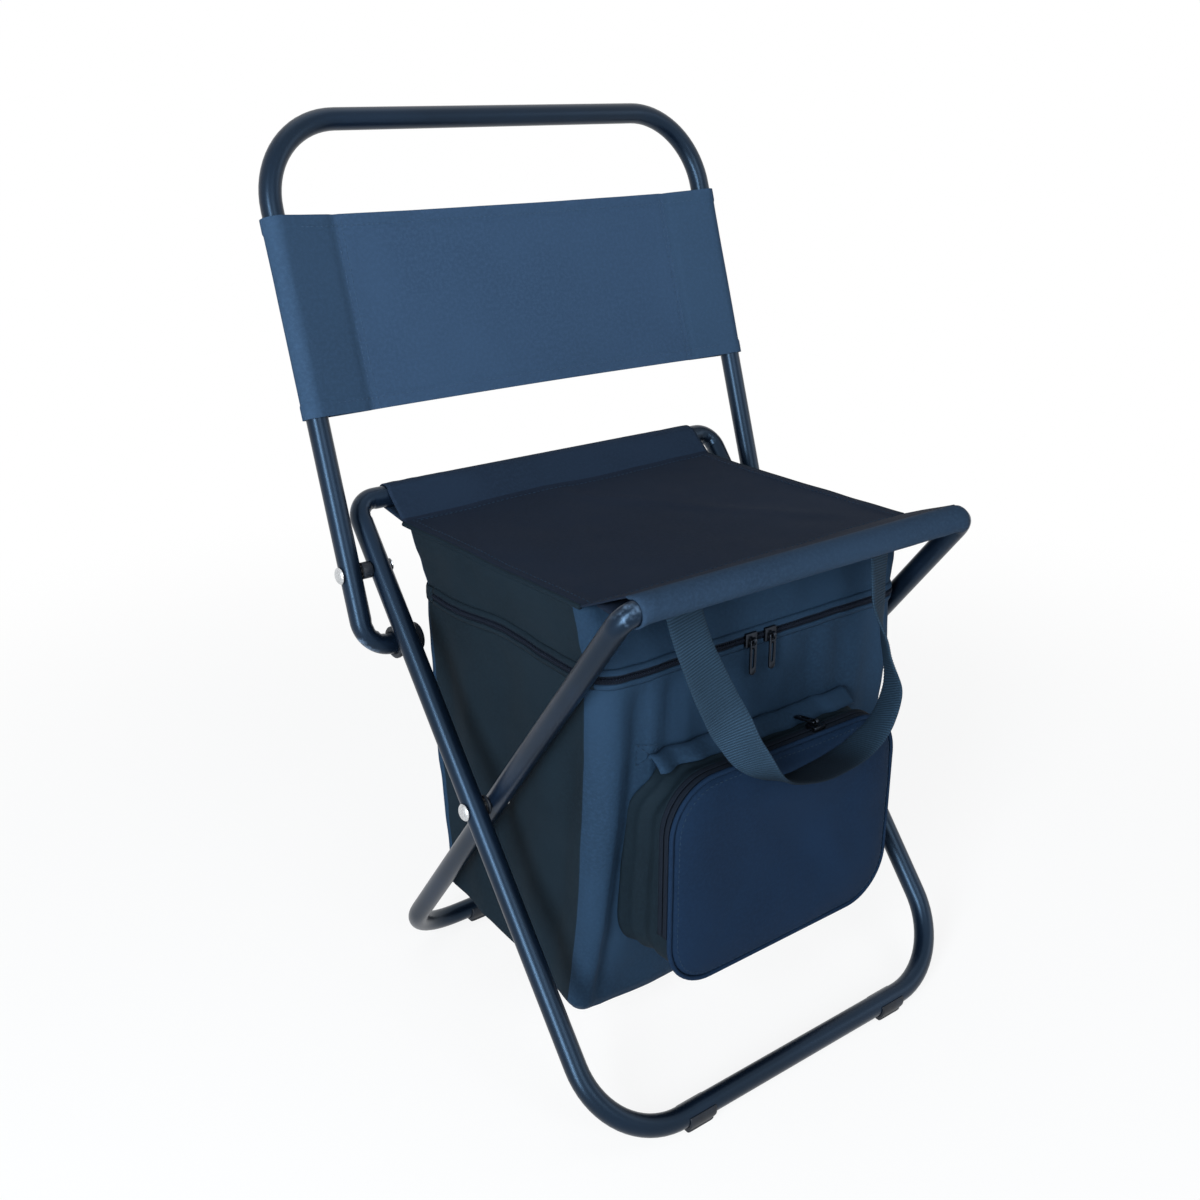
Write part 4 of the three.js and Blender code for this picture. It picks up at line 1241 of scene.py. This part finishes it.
def bag_row(share, inset, folds=True):
    """One ring of the bag's wall, at a share of its height"""
    height = blend_values(floor_height, zip_height, share)
    lean = table_value(rise_shares, lean_shares, share)
    tuck = table_value(rise_shares, inset_values, share)
    half = bag_half - floor_tuck * (1 - lean) - tuck - inset
    front = blend_values(floor_front, zip_front, lean) + tuck + inset
    rear = blend_values(floor_rear, zip_rear, lean) - tuck - inset
    corner = blend_values(floor_corner, bag_corner, smooth(share, 0, 0.7)) - inset * 0.5
    right = blend_values(floor_right_corner, corner, smooth(share, 0.8, 1))
    row = []
    for spot, normal in rounded_ring(
        -half, half, front, rear, corner, far=rear_corner - inset * 0.5, near_right=right
    ):
        z = height + rear_rise * (1 - share) * (spot.y - front) / (rear - front)
        z -= floor_sag(spot.x, spot.y - front) * (1 - smooth(share, 0, 0.3)) - drift(spot.x, spot.y, z)
        depth = bag_bulge(spot.x, spot.y, z, normal) if folds else 0.0
        depth = min(depth, side_swell if abs(normal.x) > 0.5 else front_swell)
        row.append(bag_point(spot.x + normal.x * depth, spot.y + normal.y * depth, z))
    return row


def use_shaded_side_cloth(made, ring):
    """The bag cloth painted darker, as painted shade, on the sides and the rear, from where the front
    corners start to turn
    """
    normals = [normal for spot, normal in rounded_ring(-1, 1, -1, 1, 0.1)]

    def turned_away(index, face):
        first = normals[index % ring]
        second = normals[(index + 1) % ring]
        side = min(abs(first.x), abs(second.x)) > 0.97 and min(first.y, second.y) > -0.2
        return len(face.vertices) < 5 and (side or (first.y + second.y) / 2 > 0.5)

    use_finish_where(made, "side", turned_away)


def bag_body(name, inset, top_share, finish, wall, steps, node):
    shares = [*floor_edge_shares, *spread(0.04, top_share, steps)]
    rows = [bag_row(share, inset) for share in shares]
    ring = len(rows[0])
    centre = sum(rows[0], Vector()) / ring
    floor_rows = [[point.lerp(centre, step / 12) for point in rows[0]] for step in range(11, 0, -1)]
    builder = Builder()
    builder.grid([*floor_rows, *rows], around=True)
    builder.fan(0, ring)
    made = builder.make(name, finish)
    if finish == "bag":
        use_shaded_side_cloth(made, ring)
    dress(thicken(made, wall, -1.0), node)


def add_bag():
    top = (zip_height - zip_half - floor_height) / (zip_height - floor_height)
    bag_body("bag_cloth_body", 0, top, "bag", cloth_wall, 70, "bag_shell")
    bag_body(
        "bag_foil_lining", lining_inset, top - 0.004, "foil", lining_wall, 24, "bag_liner"
    )
    rows = [bag_row(share, board_inset, folds=False) for share in board_rise_shares]
    dress(solid("stiff_base_board", rows, "board"), "base_board")
    rows = [band_row(share) for share in spread(0, 1, 16)]
    band = skin("bag_band_cloth", rows, "bag", around=True)
    use_shaded_side_cloth(band, len(rows[0]))
    dress(thicken(band, band_wall, -1.0), "bag_top_band")
    add_lid()


def band_row(share):
    """The band over the zip, from the zip's upper edge to the seat's edges"""
    half = blend_values(bag_half + zip_overlap, mouth_half + band_side_lip, share) - band_inset
    front = blend_values(zip_front - zip_overlap, mouth_front - band_front_lip, share) + band_inset
    rear = blend_values(zip_rear, mouth_rear, share) - band_inset
    belly = math.sin(math.pi * share)
    row = []
    corner = blend_values(bag_corner, rear_corner, share)
    for spot, normal in rounded_ring(-half, half, front, rear, corner, far=rear_corner):
        x = max(-mouth_half, min(mouth_half, spot.x))
        y = max(mouth_front, min(mouth_rear, spot.y))
        z = blend_values(zip_height + zip_half, seat_height(x, y) - band_under_seat, share)
        z += drift(spot.x, spot.y, z) * (1 - share)
        swell = belly * (band_belly + waves((spot.x, spot.y, z), band_waves))
        spot += normal * (min(swell, band_side_swell) if abs(normal.x) > 0.5 else swell)
        row.append(bag_point(spot.x, spot.y, z))
    return row


def add_lid():
    """The insulating sheet under the seat cloth, covered with cloth but for its underside"""
    rows = []
    for y in spread(mouth_front + lid_inset - 1, mouth_rear - lid_inset + 1, 30):
        across = spread(-mouth_half + lid_inset, mouth_half - lid_inset, 30)
        rows.append([bag_point(x, y, seat_height(x, y) - lid_wall) for x in across])
    made = thicken(skin("lid_foil_lining", rows, "foil"), lid_wall)
    # The lid's cloth cover uses the darker side copy of the bag cloth, painted shade
    use_finish_where(made, "side", lambda index, face: face.normal.z > -0.5)
    dress(made, "lid_liner")


# Zips

zip_pitch = 3
coil_pitch = 0.78
main_zip_width = 10
pocket_zip_width = 8
tape_wall = 0.5
welt_wall = 0.6
hinge_wall = 0.9
hinge_profile = ((-5.2, 0), (-4, 0.5), (0, 0.7), (4, 0.5), (5.2, 0))
zip_end = 14
tape_profile = ((0.5, 0.1), (1.4, 0.25))
welt_profile = ((2.5, 0.35), (2.55, 0.95), (3.0, 1.35), (3.7, 1.3))
coil_base = 0.5
coil_turn = ((coil_base, 1.7), (1.45, 0.6), (1.15, -0.7))
slider_edge = 0.45
pull_edge = 0.25
coil_section = [(0.42, 0), (0.2, 0.3), (-0.2, 0.3), (-0.42, 0), (-0.2, -0.3), (0.2, -0.3)]


def resample(stations, pitch):
    """Points at equal distances along a bent path, with tangents"""
    lengths = measured([station[0] for station in stations])
    count = int(lengths[-1] / pitch)
    return [between(stations, lengths, lengths[-1] * k / count) for k in range(count + 1)]


def add_zip(prefix, stations, lift, width, node, out_of_plane, cloth):
    """Tape, folded cloth edges and coil. Lift turns a plane point, an outward and a side step to space."""
    half = width / 2
    tape = (*tape_profile, (half - 1.2, 0.35), (half, 0.1))
    welt = (*welt_profile, (half + 0.2, 0.8), (half + 1.4, 0.1))
    edges = {"tape": Builder(), "welts": Builder()}
    for side in (-1, 1):
        for name, profile in (("tape", tape), ("welts", welt)):
            rows = []
            for point, tangent in resample(stations, zip_pitch):
                normal = Vector((tangent.y, -tangent.x)) * out_of_plane
                wave = 0.35 * unevenness((point.x, point.y, side * 40), 9, 71) if name == "welts" else 0
                row = [lift(point, normal, out, side * (a + wave * (a < 3.5))) for a, out in profile]
                rows.append(row)
            edges[name].grid(rows)
    made = thicken(edges["tape"].make(f"{prefix}_zip_tape", "tape"), tape_wall)
    dress(made, node)
    welts = edges["welts"].make(f"{prefix}_zip_welts", cloth)
    # Painted shade: the welts at the sides take the darker side copy
    use_finish_where(welts, "side", lambda index, face: abs(face.center.x) / MM > bag_half - 1.5)
    dress(thicken(welts, welt_wall, -1.0))
    teeth = Builder()
    for k, (point, tangent) in enumerate(resample(stations, coil_pitch)):
        normal = Vector((tangent.y, -tangent.x)) * out_of_plane
        side = 1 if k % 2 else -1
        start, high, end = (lift(point, normal, out, side * across) for out, across in coil_turn)
        along = lift(point + tangent, normal, coil_base, 0) - lift(point, normal, coil_base, 0)
        along.normalize()
        ways = ((start, high - start), (high, end - start), (end, end - high))
        teeth.tube([(spot, ahead.normalized(), along, 1.0) for spot, ahead in ways], coil_section)
    dress(teeth.make(f"{prefix}_zip_coil", "coil"))


def add_main_zip():
    """The zip round the front and both sides, and the hinge strip round the rear"""
    stop = zip_rear - zip_end
    corners = [(bag_half, stop), (bag_half, zip_front), (-bag_half, zip_front), (-bag_half, stop)]
    stations = bent_path(corners, [0, bag_corner, bag_corner, 0], 14)

    def lift(point, normal, out, side):
        x = point.x - normal.x * out
        y = point.y - normal.y * out
        return bag_point(x, y, zip_height + side + drift(x, y, zip_height))

    add_zip("main", stations, lift, main_zip_width, "main_zipper", 1, "bag")
    corners = [(-bag_half, stop), (-bag_half, zip_rear), (bag_half, zip_rear), (bag_half, stop)]
    rows = []
    for point, tangent in resample(bent_path(corners, [0, rear_corner, rear_corner, 0], 14), zip_pitch):
        row = []
        for side, out in hinge_profile:
            row.append(bag_point(point.x - tangent.y * out, point.y + tangent.x * out, zip_height + side))
        rows.append(row)
    # The hinge strip uses the darker side copy of the bag cloth, painted shade
    made = thicken(skin("bag_hinge_cloth", rows, "side"), hinge_wall)
    dress(made, "bag_hinge_strip")


def copied(node, name, width, body):
    """A cast metal piece with rounded edges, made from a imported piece's own mesh"""
    mesh = frame["nodes"][node].data.copy()
    mesh.name = name
    mesh.materials.clear()
    mesh.materials.append(finishes["slider"])
    tidy_mesh(mesh)
    limit = math.radians(30)
    made = add_object(name, mesh)
    modified(made, "BEVEL", width=width * MM, segments=2, limit_method="ANGLE", angle_limit=limit)
    made.data.shade_smooth()
    dress(made, node, body)


def add_sliders():
    for slider, body, pull_body in (
        ("main_slider_left", "left_slider", "left_pull"),
        ("main_slider_right", "right_slider", "right_pull"),
        ("pocket_slider", "pocket_slider_body", "pocket_pull_body"),
    ):
        copied(slider, f"{slider}_cast", slider_edge, body)
        pull = slider.replace("slider", "pull")
        copied(pull, f"{pull}_tab", pull_edge, pull_body)


# Pocket

pocket_left = -95
pocket_right = 90
pocket_low = 90
pocket_high = 225
pocket_corner = 32
pocket_face = -118.69
pocket_crown = 5.2
pocket_face_gap = 0.3
pocket_face_wall = 1.6
pocket_stitch_inset = 3.2
gusset_wall = 1.2
gusset_flare = 2.2
# Pleats that run round the gusset: height, and place and width as shares of its depth
gusset_pleats = ((1.1, 0.26, 0.07), (-1.0, 0.45, 0.06), (0.9, 0.62, 0.06))
piping_radius = 1.5
piping_inset = 0.3
piping_depth = 1.1
pocket_zip_gap = 1.5
pocket_waves = ((1.3, 42, 41), (0.5, 16, 42))
# Slanting creases of the face: height, place, width and the level where they are full
pocket_creases = ((1.6, 54, 11, 140), (-1.2, 28, 13, 150))
face_insets = (0, 0.6, 1.4, 2.6, 4.2, 6.5, 9.5, 13, 17, 22, 28, 35, 42, 49, 56, 61)
forward = Vector((0, -1, 0))


def pocket_ring(inset, steps=10):
    """Points and outward normals of the pocket's outline, in X and Z"""
    return rounded_ring(
        pocket_left + inset, pocket_right - inset, pocket_low + inset, pocket_high - inset,
        max(3.0, pocket_corner - inset), (26, 20), steps,
    )


def bag_front_at(x, z):
    share = (z - floor_height) / (zip_height - floor_height)
    lean = table_value(rise_shares, lean_shares, share)
    front = blend_values(floor_front, zip_front, lean)
    edge = bag_half - floor_tuck * (1 - lean) - bag_corner
    past = max(0.0, abs(x) - edge)
    if past > 0:
        front += bag_corner - math.sqrt(max(0.0, bag_corner**2 - past**2))
    bulge = bag_bulge(x, front, z, Vector((0, -1)))
    return front - min(bulge, front_swell)


def add_pocket():
    """The gusset, with pleats that run round it"""
    rows = []
    for share in spread(0, 1, 26):
        sag = math.sin(math.pi * share)
        pleats = sum(size * bell(share, middle, width) for size, middle, width in gusset_pleats)
        row = []
        for spot, normal in pocket_ring(0):
            x, z = spot
            y = blend_values(bag_front_at(x, z) - 0.4, pocket_face, share)
            swell = -1.6 * sag + 1.1 * sag * unevenness((x, y, z), 15, 31) + pleats
            swell += 1.4 * bell(share, 0.42, 0.10) * unevenness((x, z, 0), 22, 33)
            spot += normal * (swell + gusset_flare * (1 - share) ** 4)
            row.append(bag_point(spot.x, y, spot.y))
        rows.append(row)
    # The gusset uses the darker side copy of the bag cloth, painted shade
    made = skin("pocket_gusset", rows, "side", around=True)
    dress(thicken(made, gusset_wall, -1.0), "pocket_shell")
    add_pocket_face()
    add_pocket_trim()


def pocket_swell(x, z, inset):
    """How far the padded face stands forward of its own edge"""
    rise = pocket_crown * (1 - math.exp(-inset / 9))
    rise -= 2.2 * smooth(inset, 18, 60)
    rise += waves((x, z, 0), pocket_waves)
    slant = x + 0.55 * (z - 120)
    for height, middle, width, full in pocket_creases:
        rise += height * bell(slant, middle, width) * smooth(z, 95, full) * (1 - smooth(z, 150, 215))
    return rise * smooth(inset, 0, 3)


def pocket_face_point(x, z, inset):
    """A point of the padded face, over a place on its outline's inner rings"""
    forward_by = pocket_face_gap + pocket_face_wall * smooth(inset, 0, 1.2)
    return bag_point(x, pocket_face - forward_by - pocket_swell(x, z, inset), z)


def add_pocket_face():
    rows = [[bag_point(spot.x, pocket_face - pocket_face_gap, spot.y) for spot, normal in pocket_ring(0)]]
    for inset in face_insets:
        rows.append([pocket_face_point(*spot, inset) for spot, normal in pocket_ring(inset)])
    middle = (pocket_low + pocket_high) / 2
    depth = (pocket_high - pocket_low) / 2
    reach = depth - 1.5
    closing = [min(max(point.x, pocket_left + reach), pocket_right - reach) for point in rows[-1]]
    rows.append([pocket_face_point(x, middle, depth) for x in closing])
    builder = Builder()
    builder.grid(rows, around=True)
    builder.fan(0, len(rows[0]))
    made = builder.make("pocket_padded_face", "pocket")
    flat_uv(made)
    dress(made, "pocket_front")


def flat_uv(made):
    """Cloth coordinates straight from the front, for a face that is cut from one flat piece"""
    layer = made.data.uv_layers["cloth"]
    for polygon in made.data.polygons:
        for index in polygon.loop_indices:
            point = made.data.vertices[made.data.loops[index].vertex_index].co
            layer.data[index].uv = (point.x, point.z)


def add_pocket_trim():
    """Piping, zip, flap and stitches round the pocket"""
    path = []
    ring = pocket_ring(piping_inset - piping_radius, steps=14)
    for i, (spot, normal) in enumerate(ring):
        ahead = ring[(i + 1) % len(ring)][0] - ring[i - 1][0]
        point = bag_point(spot.x, pocket_face - piping_depth, spot.y)
        path.append((point, Vector((ahead.x, 0, ahead.y)).normalized(), forward, piping_radius))
    builder = Builder()
    builder.tube(path, circle(12), closed=True)
    piping = builder.make("pocket_edge_piping", "pocket")
    dress(piping, "pocket_piping")
    low = pocket_low + pocket_corner + 4
    high = pocket_high + pocket_zip_gap
    left = pocket_left - pocket_zip_gap
    right = pocket_right + pocket_zip_gap
    bend = pocket_corner + pocket_zip_gap
    stations = bent_path([(left, low), (left, high), (right, high), (right, low)], [0, bend, bend, 0], 20)
    zip_low, zip_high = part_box("pocket_zipper")
    middle = (zip_low.y + zip_high.y) / 2 / MM

    def lift(point, normal, out, side):
        return Vector((point.x - normal.x * out, middle + side, point.y - normal.y * out))

    add_zip("pocket", stations, lift, pocket_zip_width, "pocket_zipper", -1, "side")
    add_storm_flap()
    ring = pocket_ring(pocket_stitch_inset)
    line = [(pocket_face_point(*spot, pocket_stitch_inset), forward) for spot, normal in [*ring, ring[0]]]
    dress(stitches("pocket_face_stitches", line, "thread"))


flap_left = -88
flap_right = 78
flap_root_height = 234
flap_reach = 9
flap_wall = 1.8
flap_lip = flap_reach + 3.2
flap_slope = 0.02
flap_profile = ((0, 3), (0.6, 0.6), (2.4, -0.2), (flap_reach / 2, 1), (flap_reach, 4.2), (flap_lip, 7.6))
tack_left = -93
tack_right = -80
tack_low = 226
tack_high = 240


def add_storm_flap():
    """A doubled strip of cloth over the pocket's zip, sewn to the bag along its upper edge"""
    rows = []
    for out, drop in flap_profile:
        row = []
        for x in spread(flap_left, flap_right, 56):
            wave = 1.3 * unevenness((x, out * 3, 0), 26, 51) * smooth(out, 2, 10)
            z = flap_root_height - flap_slope * (x - flap_left) - drop + wave
            row.append(bag_point(x, bag_front_at(x, flap_root_height) - 0.7 - out, z))
        rows.append(row)
    made = thicken(skin("pocket_storm_flap", rows, "bag"), flap_wall)
    dress(made)
    high_left = Vector((tack_left, tack_high))
    low_left = Vector((tack_left, tack_low))
    high_right = Vector((tack_right, tack_high))
    low_right = Vector((tack_right, tack_low))
    threads = (
        (high_left, low_right),
        (low_left, high_right),
        (high_left, high_right),
        (low_left, high_left),
    )
    for number, (start, end) in enumerate(threads):
        line = []
        for x, z in line_points(start, end, 12):
            line.append((bag_point(x, bag_front_at(x, z) - 0.6, z), forward))
        dress(stitches(f"flap_tack_{number}", line, "thread"))


# Carry handle

strap_width = 25.5
strap_wall = 1.8
strap_half_span = 81
strap_drop = 122
strap_foremost = -139.49
strap_reach = handle_top.y - pivot.y - strap_foremost
rib_pitch = 1.7
rib_height = 0.32
strap_cup = 0.9
strap_edge_share = 0.9
grip_shade_share = 0.92
grip_start_shares = (0.33, 0.41)
grip_end_shares = (0.52, 0.64)
strap_across_shares = (-1, -0.97, -0.9, -0.6, -0.2, 0.2, 0.6, 0.9, 0.97, 1)
steps_per_rib = 4
strap_route_shares = [
    (-1, 0, 0),
    (-1, 0.06, 0.02),
    (-0.95, 0.23, 0.14),
    (-0.855, 0.435, 0.33),
    (-0.735, 0.64, 0.55),
    (-0.59, 0.83, 0.77),
    (-0.41, 0.96, 0.93),
    (-0.18, 1, 1),
    (0.135, 1, 1),
    (0.46, 0.965, 0.97),
    (0.73, 0.88, 0.88),
    (0.91, 0.755, 0.7),
    (0.94, 0.57, 0.43),
    (0.94, 0.32, 0.17),
    (0.98, 0.06, 0.02),
    (0.98, 0, 0),
]
strap_width_shares = [
    (1, 0, 0),
    (1, 0, 0.1),
    (0.96, -0.2, 0.25),
    (0.5, -0.82, 0.45),
    (0, -1, 0.3),
    (0, -1, 0.12),
    (-0.3, -0.95, 0.05),
    (-0.38, -0.92, 0.2),
    (-0.62, -0.78, 0.1),
    (-0.9, -0.42, 0),
    (-0.96, -0.28, 0),
]


def strap_turn(share):
    """The direction across the strap at a share of its length"""
    count = len(strap_width_shares) - 1
    i = min(int(share * count), count - 1)
    first = Vector(strap_width_shares[i])
    return first.lerp(Vector(strap_width_shares[i + 1]), smooth(share * count, i, i + 1))


def rounded_line(points, count):
    """Points at equal distances along a smooth line through the given points, and the line's length"""

    def spacing(a, b):
        return math.sqrt(max((b - a).length, 0.01))

    def mixed(pair, low, high, value):
        return pair[0] * ((high - value) / (high - low)) + pair[1] * ((value - low) / (high - low))

    padded = [points[0] * 2 - points[1], *points, points[-1] * 2 - points[-2]]
    dense = []
    for i in range(len(points) - 1):
        knots = [0.0]
        for a, b in zip(padded[i : i + 3], padded[i + 1 : i + 4]):
            knots.append(knots[-1] + spacing(a, b))
        for step in range(24):
            value = blend_values(knots[1], knots[2], step / 24)
            thirds = [mixed(padded[i + j : i + j + 2], knots[j], knots[j + 1], value) for j in range(3)]
            halves = [mixed(thirds[j : j + 2], knots[j], knots[j + 2], value) for j in range(2)]
            dense.append(mixed(halves, knots[1], knots[2], value))
    dense.append(points[-1])
    lengths = measured(dense)
    made = []
    for k in range(count + 1):
        i, share = stretch(lengths, lengths[-1] * k / count)
        made.append(dense[i].lerp(dense[i + 1], share))
    return made, lengths[-1]


def add_handle():
    points = []
    for across, down, out in strap_route_shares:
        step = Vector((strap_half_span * across, -strap_reach * out, -strap_drop * down))
        points.append(handle_top + step)
    length = rounded_line(points, 10)[1]
    line = rounded_line(points, round(length / rib_pitch) * steps_per_rib)[0]
    rows = []
    ribbed = []
    grip_shade_rows = []
    for k, point in enumerate(line):
        tangent = (line[min(k + 1, len(line) - 1)] - line[max(k - 1, 0)]).normalized()
        share = k / (len(line) - 1)
        turn = strap_turn(share)
        across = (turn - tangent * turn.dot(tangent)).normalized()
        out = across.cross(tangent).normalized()
        rib = 0.5 - 0.5 * math.cos(2 * math.pi * k / steps_per_rib)
        # Share of painted shade along the strap, full in the grip
        grip = smooth(share, *grip_start_shares) * (1 - smooth(share, *grip_end_shares))
        high = []
        low = []
        for side in strap_across_shares:
            edge = max(0.0, (abs(side) - strap_edge_share) / (1 - strap_edge_share))
            height = strap_wall / 2 * (1 - 0.6 * edge) + rib_height * (rib - 0.5) * (1 - edge)
            cup = strap_cup * side * side * math.sin(math.pi * share)
            spot = point + across * side * strap_width / 2
            high.append(spot + out * (height - cup))
            low.append(spot - out * (height + cup))
        rows.append([*high, *reversed(low)])
        ribbed.append([rib] * len(rows[0]))
        grip_shade_rows.append([grip_shade_share * grip] * len(rows[0]))
    made = solid("webbing_handle", rows, "webbing", rib=ribbed, grip=grip_shade_rows)
    dress(made, "carry_handle", "handle")


def add_floor():
    size = 6
    mesh = bpy.data.meshes.new("floor")
    corners = [(-size, -size, 0), (size, -size, 0), (size, size, 0), (-size, size, 0)]
    mesh.from_pydata(corners, [], [(0, 1, 2, 3)])
    mesh.materials.append(floor_finish())
    add_object("floor", mesh)


add_camera()
add_lights()
add_world()
add_floor()
add_frames()
add_fasteners()
add_feet()
add_back_panel()
add_seat()
add_bag()
add_main_zip()
add_pocket()
add_sliders()
add_handle()
finish_folding()

bpy.context.scene.view_settings.view_transform = "Standard"
